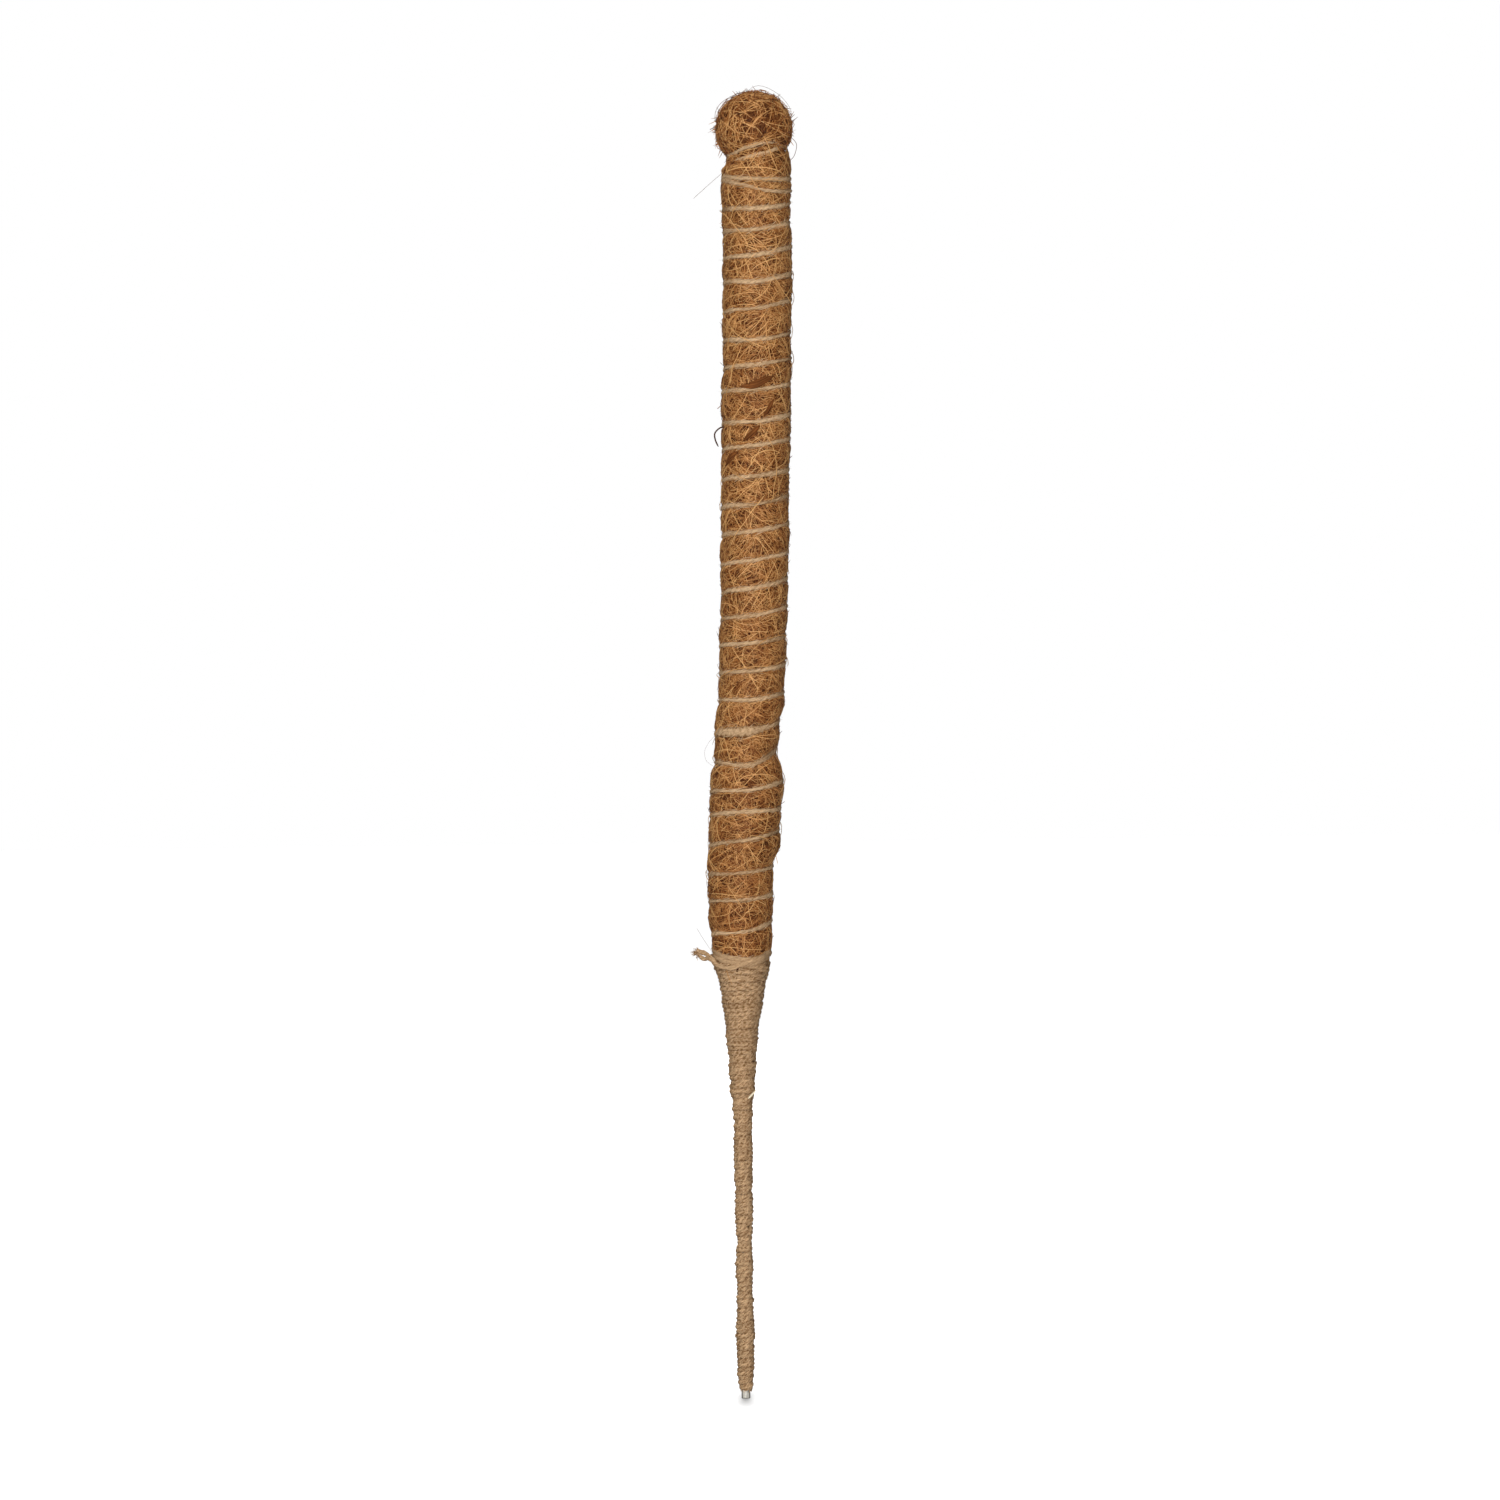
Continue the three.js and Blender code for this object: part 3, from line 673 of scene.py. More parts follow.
def fibre_material(settings):
    return toned_material("coir_fibre", 0.6, 0.12, [
        (0.0, settings.gap_shade_colour),
        (0.32, settings.dark_colour),
        (0.66, settings.fibre_colour),
        (1.0, settings.light_colour),
    ])


def felt_material(settings):
    """Matted coir between the fibres: rough and mottled, and painted dark in the gap's shade colour."""
    return toned_material("coir_felt", 0.95, 0.1, [
        (0.32, shade(settings.gap_shade_colour, 0.6)),
        (0.5, settings.gap_shade_colour),
        (0.75, settings.dark_colour),
    ], grain=(1.7, 4, 0.65), bump=(0.9, 0.0006))


def bark_material(settings):
    """Flakes of husk among the fibres: reddish brown with lengthwise ribs."""
    return toned_material("husk_flake", 0.8, 0.05, [
        (0.34, shade(settings.husk_colour, 0.3)),
        (0.5, settings.husk_colour),
        (0.7, shade(settings.husk_colour, 2.0)),
    ], grain=(1.0, 5, 0.6), bump=(0.7, 0.0004))


def jute_material(name, colour, cut_colour):
    """Jute twine: streaks that run with its twist, and painted shade, in redder browns, that darkens the
    grooves between its plies and its sides.
    """
    return toned_material(name, 0.85, 0.15, [
        (0.0, shade(colour, 0.36, 0.22)),
        (0.3, shade(colour, 0.72, 0.12)),
        (0.6, colour),
        (0.92, shade(colour, 1.4)),
        (1.0, cut_colour),
    ], grain=(1.6, 4, 0.6), bump=(0.8, 0.0003), gain=1.2, level=-0.6)


def wire_material(settings):
    """Bare drawn wire: bright and dark streaks along its length; the darkest lines, at its left and right
    sides, are painted shade.
    """
    material = toned_material("drawn_wire", 0.4, 0.5, [
        (0.45, shade(settings.wire_colour, 0.2)),
        (0.85, settings.wire_colour),
        (1.0, shade(settings.wire_colour, 1.6)),
    ], grain=(1.0, 5, 0.7), bump=(0.35, 0.0001))
    nodes, links = material.node_tree.nodes, material.node_tree.links
    shader = nodes["Principled BSDF"]
    shader.inputs["Metallic"].default_value = 1.0
    shader.inputs["Specular Tint"].default_value = (0.3, 0.3, 0.3, 1)
    rough = add_node(nodes, "MapRange", {"To Min": 0.55, "To Max": 0.25})
    links.new(nodes["grain"].outputs["Fac"], rough.inputs["Value"])
    links.new(rough.outputs["Result"], shader.inputs["Roughness"])
    return material


def place_on_pole(piece, number, node=None):
    """Attaches a piece of the stake's or the crown's length to that length's body, and lets it stand for a
    solid where one is named; a piece of a length in between is left unattached.
    """
    if number == 0:
        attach(piece, BODIES[0])
    elif number == len(CUTS):
        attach(piece, BODIES[-1])
    else:
        hinge = HINGE_HEIGHTS[number - 1]
        low = pole_point(0.0, 0.0, hinge - BEND_REACH, shifted=False) * MM
        high = pole_point(0.0, 0.0, hinge + BEND_REACH, shifted=False) * MM
        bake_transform(piece)
    if node:
        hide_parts(node)


def solid_of_length(number, section, crown):
    """The solid that a length stands for: one for each but the length below the crown."""
    if number == len(CUTS):
        return crown
    return f"{section}_{number + 1}" if number < len(HINGES) else None


def length_bounds(low, high):
    """The lengths of the pole between two heights."""
    stops = [low, *CUTS, high]
    return list(zip(stops[:-1], stops[1:]))


def length_number(heights):
    return np.searchsorted(CUTS, heights)


class CoirSettings(bpy.types.PropertyGroup):
    """Sizes and colours of the coir."""

    fibre_count: bpy.props.IntProperty(
        name="Fibres", description="Fibres matted over the column", default=36000, min=100)
    head_fibre_count: bpy.props.IntProperty(
        name="Head Fibres", description="Fibres wound over the round head", default=6300, min=10)
    long_fibre_count: bpy.props.IntProperty(
        name="Long Fibres", description="Pale fibres that sweep over the others", default=420, min=0)
    stray_count: bpy.props.IntProperty(
        name="Strays", description="Short ends that stand off the surface", default=1800, min=0)
    # Specks are painted shade of small holes among the fibres, in the gap colour
    shade_speck_count: bpy.props.IntProperty(
        name="Specks", description="Short dark ends that lie flush with the surface", default=8000, min=0)
    fibre_thickness: bpy.props.FloatProperty(
        name="Fibre Thickness", description="Thickness of a common fibre",
        default=0.00028, precision=5, unit="LENGTH")
    # Painted shade: the near-black gap colour stands in for the shade deep between the fibres; the felt, the
    # specks and the darkest fibres take it
    gap_shade_colour: bpy.props.FloatVectorProperty(
        name="Gap", description="Colour deep between the fibres",
        default=(0.055, 0.017, 0.005), subtype="COLOR")
    dark_colour: bpy.props.FloatVectorProperty(
        name="Dark Fibre", description="Colour of the darker fibres",
        default=(0.25, 0.081, 0.019), subtype="COLOR")
    fibre_colour: bpy.props.FloatVectorProperty(
        name="Fibre", description="Colour of most fibres",
        default=(0.48, 0.212, 0.066), subtype="COLOR")
    light_colour: bpy.props.FloatVectorProperty(
        name="Light Fibre", description="Colour of the palest fibres",
        default=(0.74, 0.41, 0.155), subtype="COLOR")
    husk_colour: bpy.props.FloatVectorProperty(
        name="Husk", description="Colour of the flakes of husk",
        default=(0.138, 0.046, 0.0125), subtype="COLOR")


class TwineSettings(bpy.types.PropertyGroup):
    """Sizes and colours of the jute twine and the wire."""

    width: bpy.props.FloatProperty(
        name="Width", description="Width of the twine on the column",
        default=0.0021, precision=4, unit="LENGTH")
    thickness: bpy.props.FloatProperty(
        name="Thickness", description="Thickness of the twine on the column",
        default=0.0013, precision=4, unit="LENGTH")
    lay: bpy.props.FloatProperty(
        name="Lay", description="Length of twine in which its plies go round once",
        default=0.0062, precision=4, unit="LENGTH")
    wrap_pitch: bpy.props.FloatProperty(
        name="Wrap Pitch", description="Rise of each turn of the close wraps",
        default=0.00195, precision=5, unit="LENGTH")
    wrap_thickness: bpy.props.FloatProperty(
        name="Wrap Thickness", description="Thickness of the twine of the close wraps",
        default=0.0017, precision=4, unit="LENGTH")
    twine_colour: bpy.props.FloatVectorProperty(
        name="Twine", description="Colour of the twine on the column",
        default=(0.55, 0.372, 0.213), subtype="COLOR")
    wrap_colour: bpy.props.FloatVectorProperty(
        name="Wrap", description="Colour of the close wraps",
        default=(0.5, 0.33, 0.185), subtype="COLOR")
    wire_colour: bpy.props.FloatVectorProperty(
        name="Wire", description="Colour of the bare wire",
        default=(0.27, 0.258, 0.23), subtype="COLOR")
    cut_colour: bpy.props.FloatVectorProperty(
        name="Cut End", description="Colour of the twine's cut end",
        default=(1.0, 0.88, 0.64), subtype="COLOR")


class StageSettings(bpy.types.PropertyGroup):
    """Camera and light."""

    distance: bpy.props.FloatProperty(
        name="Camera Distance", description="From the camera to the pole",
        default=CAMERA_DISTANCE * MM, unit="LENGTH")
    height: bpy.props.FloatProperty(
        name="Camera Height", description="Of the camera above the floor",
        default=CAMERA_HEIGHT * MM, unit="LENGTH")
    view_width: bpy.props.FloatProperty(
        name="View Width", description="Width of the picture at the pole",
        default=0.6885, unit="LENGTH")
    roll: bpy.props.FloatProperty(
        name="Roll", description="Turn of the camera about its own line of sight",
        default=math.radians(-0.65), subtype="ANGLE")
    key_power: bpy.props.FloatProperty(
        name="Key Power", description="Power of the soft front light", default=55.5, unit="POWER")
    ambient: bpy.props.FloatProperty(
        name="Ambient", description="Strength of the light from all round", default=0.02)


class PoleOperator:
    """What the operators of the pole share."""

    bl_options = {"REGISTER", "UNDO"}


class COIRPOLE_OT_wire(PoleOperator, bpy.types.Operator):
    """Makes the core wire, bare at its cut tip"""

    bl_idname = "coir_pole.wire"
    bl_label = "Core Wire"

    SIDES = 32
    RING_GAP = 3.0
    MAP_ROWS = 4
    # The cut end keeps a narrow flat inside a small burr: heights, and shares of the radius
    TIP_HEIGHTS = np.array([0.0, 0.0, 0.12, 0.5])
    TIP_SHARES = np.array([0.8, 0.93, 1.0, 1.0])
    # Dark lines along the wire: turn, depth, width; the two deep ones at its left and right sides are
    # painted shade, the others drawn streaks
    SHADE_AND_STREAK_LINES = ((0.27, 0.6, 0.09), (0.52, 0.15, 0.03), (0.73, 0.6, 0.09), (0.98, 0.5, 0.06))

    def execute(self, context):
        material = wire_material(context.scene.coir_pole_twine)
        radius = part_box("core_wire_1")[1].x / MM
        turn = np.arange(self.SIDES) / self.SIDES
        tones = np.full(self.SIDES, 0.5)
        # Painted shade: dark lines down the wire's left and right sides, with two more drawn streaks
        for mark, depth, width in self.SHADE_AND_STREAK_LINES:
            tones -= depth * np.exp(-(((turn - mark) / width) ** 4))
        for number, (low, high) in enumerate(length_bounds(0.0, WIRE_TOP)):
            heights = np.append(np.arange(low, high - 1, self.RING_GAP), high)
            radii = np.full(len(heights), radius)
            if number == 0:
                heights = np.concatenate([self.TIP_HEIGHTS, heights[1:]])
                radii = np.concatenate([radius * self.TIP_SHARES, radii[1:]])
            points = pole_point(turn[None, :], radii[:, None], heights[:, None], shifted=False)
            across = (5 * np.cos(TAU * turn), 5 * np.sin(TAU * turn), 0.12 * heights[:, None])
            strands = np.stack(np.broadcast_arrays(*across), -1)
            shape = Shape()
            shape.add_tube(points, self.MAP_ROWS, np.broadcast_to(tones, points.shape[:2]), strands)
            piece = shape.build("wire_tip" if number == 0 else f"wire_length_{number + 1}", material)
            place_on_pole(piece, number, solid_of_length(number, "core_wire", "crown_wire"))
        return {"FINISHED"}


class COIRPOLE_OT_felt(PoleOperator, bpy.types.Operator):
    """Makes the matted coir under the fibres, from the taper to the head"""

    bl_idname = "coir_pole.felt"
    bl_label = "Coir Mat"

    COLUMNS = 84
    RING_GAP = 1.15
    BORE = 2.4
    SUNK = 0.85
    ROUGHNESS = 0.13
    # Rows of the map: height of the outer wall, those of the bore, and the level of the lower rim
    WALL_HEIGHT = 0.85
    BORE_ROWS = (0.9, 0.95)
    RIM_LEVEL = 0.99
    # Rings of the crown: how many on the neck and on the head, and the head's span in radians
    NECK_RINGS = 24
    HEAD_RINGS = 40
    HEAD_SPAN = (-0.68, 1.5)

    def execute(self, context):
        material = felt_material(context.scene.coir_pole_coir)
        rng = np.random.default_rng(11)
        for number, (low, high) in enumerate(length_bounds(STEP_HEIGHT + 1.5, MAT_TOP)):
            if number == len(CUTS):
                neck = np.linspace(low, NECK, self.NECK_RINGS)[:-1]
                swing = np.sin(np.linspace(*self.HEAD_SPAN, self.HEAD_RINGS))
                heights = np.concatenate([neck, HEAD_MIDDLE - 0.4 + (HEAD_RADIUS - 0.6) * swing])
            else:
                heights = np.linspace(low, high, max(3, round((high - low) / self.RING_GAP)))
            shape = Shape()
            self.add_sleeve(shape, rng, heights)
            piece = shape.build(f"coir_mat_{number + 1}", material)
            place_on_pole(piece, number, solid_of_length(number, "coir_section", "coir_crown"))
        return {"FINISHED"}

    def add_sleeve(self, shape, rng, heights):
        """A sleeve of rings that runs up its outer side and down its bore."""
        turn, height = np.meshgrid(np.arange(self.COLUMNS) / self.COLUMNS, heights)
        below = coir_radius(turn, np.minimum(height, NECK)) - self.SUNK
        head = np.sqrt(np.maximum(1.0, (HEAD_RADIUS - self.SUNK) ** 2 - (height - HEAD_MIDDLE) ** 2))
        radii = np.where(height > NECK, head, below)
        rough = rng.normal(0, self.ROUGHNESS, radii.shape)
        rough[[0, -1]] = 0
        outer = pole_point(turn, radii + rough, height)
        inner = pole_point(turn, np.minimum(self.BORE, radii * 0.6), height, shifted=False)
        rings = np.concatenate([outer, inner[::-1]])
        index = np.arange(len(rings) * self.COLUMNS).reshape(-1, self.COLUMNS)
        share = (heights - heights[0]) / (heights[-1] - heights[0])
        bore_levels = np.linspace(*self.BORE_ROWS, len(heights))
        levels = np.concatenate([MAP_MARGIN + self.WALL_HEIGHT * share, bore_levels, [self.RIM_LEVEL]])
        row, column = np.indices(index.shape)[..., None]
        u = MAP_MARGIN + MAP_WIDTH * (column + np.array([0, 1, 1, 0])) / self.COLUMNS
        v = levels[row + np.array([0, 0, 1, 1])]
        shape.add(rings, [ring_faces(np.concatenate([index, index[:1]]))], [np.stack([u, v], -1)])


def fibre_walks(rng, starts, turns, headings, bends, reach, steps):
    """Paths of fibres over the column, as heights and turns, each with its own steady bend."""
    stride = rng.uniform(*reach, len(starts)) / (steps - 1)
    height, turn, heading = starts, turns, headings
    heights, round_turns = [height], [turn]
    for _ in range(steps - 1):
        radius = eased(COIR_RADII, height)
        height = height + stride * np.sin(heading)
        turn = turn + stride * np.cos(heading) / (TAU * radius)
        heading = heading + bends * stride + rng.normal(0, 0.05, len(height))
        heights.append(height)
        round_turns.append(turn)
    return np.stack(heights, 1), np.stack(round_turns, 1)


def fibre_slants(turn, height):
    """Slant that neighbouring fibres share: they lie in swirls that lean one way and then the other."""
    return SWIRL_SLANT * ripple(np.sin, SWIRLS, turn, height)


def either_way(rng, headings):
    """Headings of which half run the other way."""
    return headings + np.where(rng.random(len(headings)) < 0.5, 0, math.pi)


def clearance(paths, spot):
    """Least distance between each path and a spot."""
    starts, strides = paths[:, :-1], np.diff(paths, axis=1)
    share = np.clip(((spot - starts) * strides).sum(-1) / (strides * strides).sum(-1), 0, 1)
    return np.linalg.norm(starts + share[..., None] * strides - spot, axis=-1).min(1)


def head_sides(rng, ways):
    """A direction along the head's surface for each direction out of it."""
    return unit(np.cross(ways, rng.normal(0, 1, ways.shape)))


class COIRPOLE_OT_fibres(PoleOperator, bpy.types.Operator):
    """Mats the fibres over the coir, and lets some ends stray"""

    bl_idname = "coir_pole.fibres"
    bl_label = "Coir Fibres"

    # Layers of the column: share, lift, tone with its spread and limits, length, bend, thickness; the deeper
    # layers have darker tones, painted shade between the fibres
    LAYERS = (
        (0.2, (-0.9, -0.45), (0.18, 0.10, 0.0, 0.95), (5, 13), 0.06, (0.9, 1.4)),
        (0.45, (-0.5, -0.1), (0.46, 0.18, 0.0, 0.95), (3, 10), 0.10, (0.8, 1.3)),
        (0.35, (-0.1, 0.2), (0.72, 0.18, 0.0, 0.95), (3.5, 12), 0.12, (0.65, 1.05)),
    )
    # How much darker the mat is lower down: size, the height where that begins, and its reach
    DARKER = ((0.06, 320, 60), (0.2, 224, 14))
    # Share of the mat's fibres that cross the swirls, and of the sweeps that run over the twine
    CROSSING = 0.3
    OVER_TWINE = 0.15
    # Kinds of single fibre on the column: points, length, tone with its spread and limits, thickness
    SWEEP = (18, (14, 38), (0.92, 0.08, 0.6, 1), (1.05, 1.45))
    RISER = (12, (9, 24), (0.68, 0.12, 0.4, 1), (1.1, 1.5))
    STRAY = (6, (3, 8), (0.2, 0.14, 0.02, 0.95), (0.7, 1.05))
    # Specks are painted shade: short ends in the gap colour that stand for small shaded holes among the
    # fibres
    SPECK = (3, (0.7, 1.7), (0.08, 0.09, 0.0, 0.4), (1.1, 1.8))
    BOUND = (6, (3, 8), (0.55, 0.16, 0.1, 0.95), (0.7, 1.1))
    # And on the head
    # Head specks too are painted shade of small holes, in the gap colour
    HEAD_SPECK = (3, (0.7, 1.9), (0.08, 0.09, 0.0, 0.4), (1.2, 1.9))
    HEAD_END = (4, (1.5, 4.5), (0.34, 0.2, 0.02, 0.8), (0.9, 1.4))
    # Layers of the head: points, share, lift, tone with its spread, sweep in radians, thickness, matting;
    # the deeper layers have darker tones, painted shade between the fibres
    HEAD_LAYERS = (
        (4, 0.2, (-1.2, -0.6), (0.05, 0.05), (0.25, 0.7), (1.0, 1.5), MATTED),
        (4, 0.3, (-0.6, -0.1), (0.16, 0.13), (0.2, 0.6), (0.9, 1.4), MATTED),
        (4, 0.22, (-0.1, 0.25), (0.48, 0.25), (0.25, 0.85), (1.0, 1.5), MATTED),
        (12, 0.036, (0.15, 0.45), (0.8, 0.12), (0.6, 1.6), (1.05, 1.45), MATTED),
        (4, 0.055, (0.3, 1.5), (0.34, 0.2), (0.25, 0.7), (0.85, 1.25), HALF_MATTED),
    )
    # How low the head's fibres, specks and ends go, as the cosine from its top
    LOWEST_FIBRE = -0.68
    LOWEST_SPECK = -0.6
    LOWEST_END = -0.45
    # Fibres of this tone and paler leave the holes of the head open, but for a few
    HOLE_TONE = 0.3
    HOLE_CROSSED = 0.06
    # Holes in the head: distance right of the middle, height, size
    HEAD_HOLES = (
        (9.4, 588.6, 1.0), (8.4, 586.6, 0.9), (9.6, 591.2, 0.8), (0.5, 586.8, 0.9), (2.2, 589.4, 0.8),
        (2.4, 581.6, 0.7), (-1.4, 593.7, 0.6), (-10.3, 588.4, 0.7), (-7.0, 596.0, 0.6), (4.6, 583.4, 0.6),
    )

    def execute(self, context):
        settings = context.scene.coir_pole_coir
        material = fibre_material(settings)
        rng = np.random.default_rng(23)
        self.shapes = [Shape() for _ in range(len(CUTS) + 1)]
        self.thick = settings.fibre_thickness / MM / 2
        self.add_mat(rng, settings.fibre_count)
        self.add_sweeps(rng, settings.long_fibre_count)
        self.add_risers(rng, settings.long_fibre_count // 6)
        self.add_strays(rng, settings.stray_count)
        self.add_bound(rng, settings.fibre_count // 11)
        self.add_head(rng, settings.head_fibre_count)
        self.add_head_ends(rng, settings.stray_count // 3)
        self.add_shade_specks(rng, settings.shade_speck_count)
        self.add_head_shade_specks(rng, settings.shade_speck_count // 8)
        self.add_single()
        for number, shape in enumerate(self.shapes):
            piece = shape.build(f"coir_fibres_{number + 1}", material)
            place_on_pole(piece, number)
        return {"FINISHED"}

    def lay(self, rng, heights, turns, lifts, tone, size, change=0.0):
        """Adds walked fibres to the lengths of the pole that their middles lie on."""
        tones = drawn_tones(rng, len(heights), *tone, change)
        radii = self.thick * rng.uniform(*size, len(heights))
        heights = np.clip(heights, COLLAR - 4, NECK + 1)
        paths = pole_point(turns, coir_radius(turns, heights) + lifts, heights)
        normals = outward(turns, heights)
        where = length_number(heights[:, heights.shape[1] // 2])
        for number, shape in enumerate(self.shapes):
            chosen = where == number
            if chosen.any():
                strand_tubes(shape, paths[chosen], normals[chosen], radii[chosen], tones[chosen])

    def lay_on_head(self, rng, paths, ways, tone, size, matted=MATTED):
        """Adds short fibres of the head, each with its own direction out of it."""
        tones = drawn_tones(rng, len(ways), *tone)
        radii = self.thick * rng.uniform(*size, len(ways))
        normals = np.broadcast_to(ways[:, None], paths.shape)
        strand_tubes(self.shapes[-1], paths, normals, radii, tones, matted=matted)

    def add_mat(self, rng, total):
        """The mat of the column, whose fibres follow its swirls or cross them; its deeper fibres are darker,
        as painted shade, and it is darker lower down.
        """
        steps = 4
        for share, lift, tone, reach, bend, size in self.LAYERS:
            count = int(total * share)
            spread = np.modf(rng.random() + np.arange(count)[:, None] * EVEN_STEPS)[0].T
            starts, turns = COLLAR - 3 + (NECK - COLLAR + 3) * spread[0], spread[1]
            slants = fibre_slants(turns, starts) + np.radians(rng.normal(0, 24, count))
            crossing = rng.random(count) < self.CROSSING
            slants = np.where(crossing, rng.uniform(-1.4, 1.4, count), slants)
            headings = either_way(rng, slants)
            bends = rng.normal(0, bend, count)
            heights, turns = fibre_walks(rng, starts, turns, headings, bends, reach, steps)
            wave = np.cos(np.linspace(0, 2.2 * math.pi, steps)[None] + rng.uniform(0, TAU, count)[:, None])
            lifts = rng.uniform(*lift, count)[:, None] + 0.12 * wave
            lifts[:, [0, -1]] -= 0.4
            darker = sum(depth * smooth((top - starts) / fall) for depth, top, fall in self.DARKER)
            self.lay(rng, heights, turns, lifts, tone, size, -darker)

    def add_sweeps(self, rng, count):
        """Long pale fibres, of which some run over the twine."""
        steps, reach, tone, size = self.SWEEP
        starts, turns = rng.uniform(COLLAR, NECK - 3, count), rng.random(count)
        slants = np.radians(rng.normal(48, 18, count)) * rng.choice([-1, 1], count)
        headings = either_way(rng, slants)
        bends = rng.normal(0, 0.028, count)
        heights, turns = fibre_walks(rng, starts, turns, headings, bends, reach, steps)
        lifts = rng.uniform(0.05, 0.25, count)[:, None]
        lifts = lifts + 0.1 * np.cos(np.linspace(0, 7, steps)[None] + rng.uniform(0, TAU, count)[:, None])
        lifts[:, [0, -1]] -= 0.5
        over = rng.random(count) < self.OVER_TWINE
        raised = near_twine(turns, np.clip(heights, COLLAR, NECK), 2.0, 2.4)
        lifts = lifts + np.where(over[:, None], raised, 0)
        self.lay(rng, heights, turns, lifts, tone, size)

    def add_risers(self, rng, count):
        """Coarse fibres that rise out of the collar."""
        steps, reach, tone, size = self.RISER
        starts, turns = rng.uniform(COLLAR - 2, COLLAR + 2, count), rng.random(count)
        headings = np.radians(90 + rng.normal(32, 18, count) * rng.choice([-1, 1], count))
        bends = rng.normal(0, 0.09, count)
        heights, turns = fibre_walks(rng, starts, turns, headings, bends, reach, steps)
        lifts = np.repeat(rng.uniform(-0.05, 0.4, count)[:, None], steps, 1)
        lifts[:, -1] -= 0.6
        self.lay(rng, heights, turns, lifts, tone, size)

    def add_strays(self, rng, count):
        """Short ends that lift off the column."""
        steps, reach, tone, size = self.STRAY
        starts, turns = rng.uniform(COLLAR + 1, NECK, count), rng.random(count)
        headings, bends = rng.uniform(0, TAU, count), rng.normal(0, 0.12, count)
        heights, turns = fibre_walks(rng, starts, turns, headings, bends, reach, steps)
        rise = np.abs(rng.normal(0, 0.55, count))
        lifts = -0.3 + rise[:, None] * np.linspace(0, 1, steps)[None] ** 1.4 * 1.6
        self.lay(rng, heights, turns, lifts, tone, size)

    def add_shade_specks(self, rng, count):
        """Short ends in the dark gap colour that lie flush as painted shade of small holes among the fibres,
        some of them close above the collar.
        """
        steps, reach, tone, size = self.SPECK
        starts, turns = rng.uniform(COLLAR, NECK, count), rng.random(count)
        starts = np.where(rng.random(count) < 0.07, COLLAR + 12 * rng.random(count), starts)
        headings = fibre_slants(turns, starts) + rng.normal(0, 0.6, count)
        heights, turns = fibre_walks(rng, starts, turns, headings, 0 * starts, reach, steps)
        lifts = np.repeat(rng.uniform(0.0, 0.22, count)[:, None], steps, 1)
        lifts[:, [0, -1]] -= 0.1
        self.lay(rng, heights, turns, lifts, tone, size)

    # Painted shade: short ends in the gap colour that stand for small shaded holes in the head
    def add_head_shade_specks(self, rng, count):
        steps, reach, tone, size = self.HEAD_SPECK
        ways = unit(rng.normal(0, 1, (count, 3)))
        ways = ways[ways @ HEAD_AXIS > self.LOWEST_SPECK]
        sides = head_sides(rng, ways)
        lengths = rng.uniform(*reach, len(ways))[:, None] * np.linspace(-0.5, 0.5, steps)
        middles = head_point(ways, rng.uniform(0.15, 0.42, len(ways)))
        paths = middles[:, None] + lengths[..., None] * sides[:, None]
        self.lay_on_head(rng, paths, ways, tone, size)

    def add_bound(self, rng, count):
        """Fibres drawn in along the twine, which lie over its edges."""
        steps, reach, tone, size = self.BOUND
        turns = rng.uniform(TWINE_FIRST_TURN + 0.3, TWINE_LAST_TURN, count)
        starts = flowing(WINDING, turns) + rng.choice([-1, 1], count) * rng.uniform(0.7, 1.7, count)
        headings = either_way(rng, rng.normal(0.12, 0.3, count))
        bends = rng.normal(0, 0.06, count)
        heights, turns = fibre_walks(rng, starts, turns, headings, bends, reach, steps)
        lifts = near_twine(turns, np.clip(heights, COLLAR, NECK), DRAWN_DEPTH, DRAWN_REACH)
        lifts = lifts + rng.uniform(-0.55, 0.0, count)[:, None]
        lifts[:, [0, -1]] -= 0.3
        self.lay(rng, heights, turns, lifts, tone, size)

    def add_head(self, rng, total):
        """The fibres wound over the head, each on its own small circle, the deeper layers darker as painted
        shade.
        """
        for steps, share, lift, tone, reach, size, matted in self.HEAD_LAYERS:
            count = int(total * share)
            poles = unit(rng.normal(0, 1, (count, 3)))
            flat = head_sides(rng, poles)
            other = np.cross(poles, flat)
            tilt, begin = rng.uniform(0.0, 0.75, count), rng.uniform(0, TAU, count)
            angle = begin[:, None] + rng.uniform(*reach, count)[:, None] * np.linspace(0, 1, steps)[None]
            ring = np.cos(angle)[..., None] * flat[:, None] + np.sin(angle)[..., None] * other[:, None]
            ways = np.cos(tilt)[:, None, None] * ring + np.sin(tilt)[:, None, None] * poles[:, None]
            rise = rng.uniform(*lift, count)[:, None] + 0.14 * np.cos(3 * angle + begin[:, None])
            rise[:, [0, -1]] -= 0.5 + max(0.0, lift[0])
            tones = drawn_tones(rng, count, *tone, 0.0, 1)
            radii = self.thick * rng.uniform(*size, count)
            keep = (ways @ HEAD_AXIS).min(1) > self.LOWEST_FIBRE
            paths = head_point(ways, rise)
            if tone[0] > self.HOLE_TONE:
                for right, height, wide in self.HEAD_HOLES:
                    hole = front_path([(right, height), (right, height)], 0.0, 2)[0]
                    near = clearance(paths, hole) < wide
                    keep &= ~near | (rng.random(count) < self.HOLE_CROSSED)
            strand_tubes(self.shapes[-1], paths[keep], ways[keep], radii[keep], tones[keep], matted=matted)

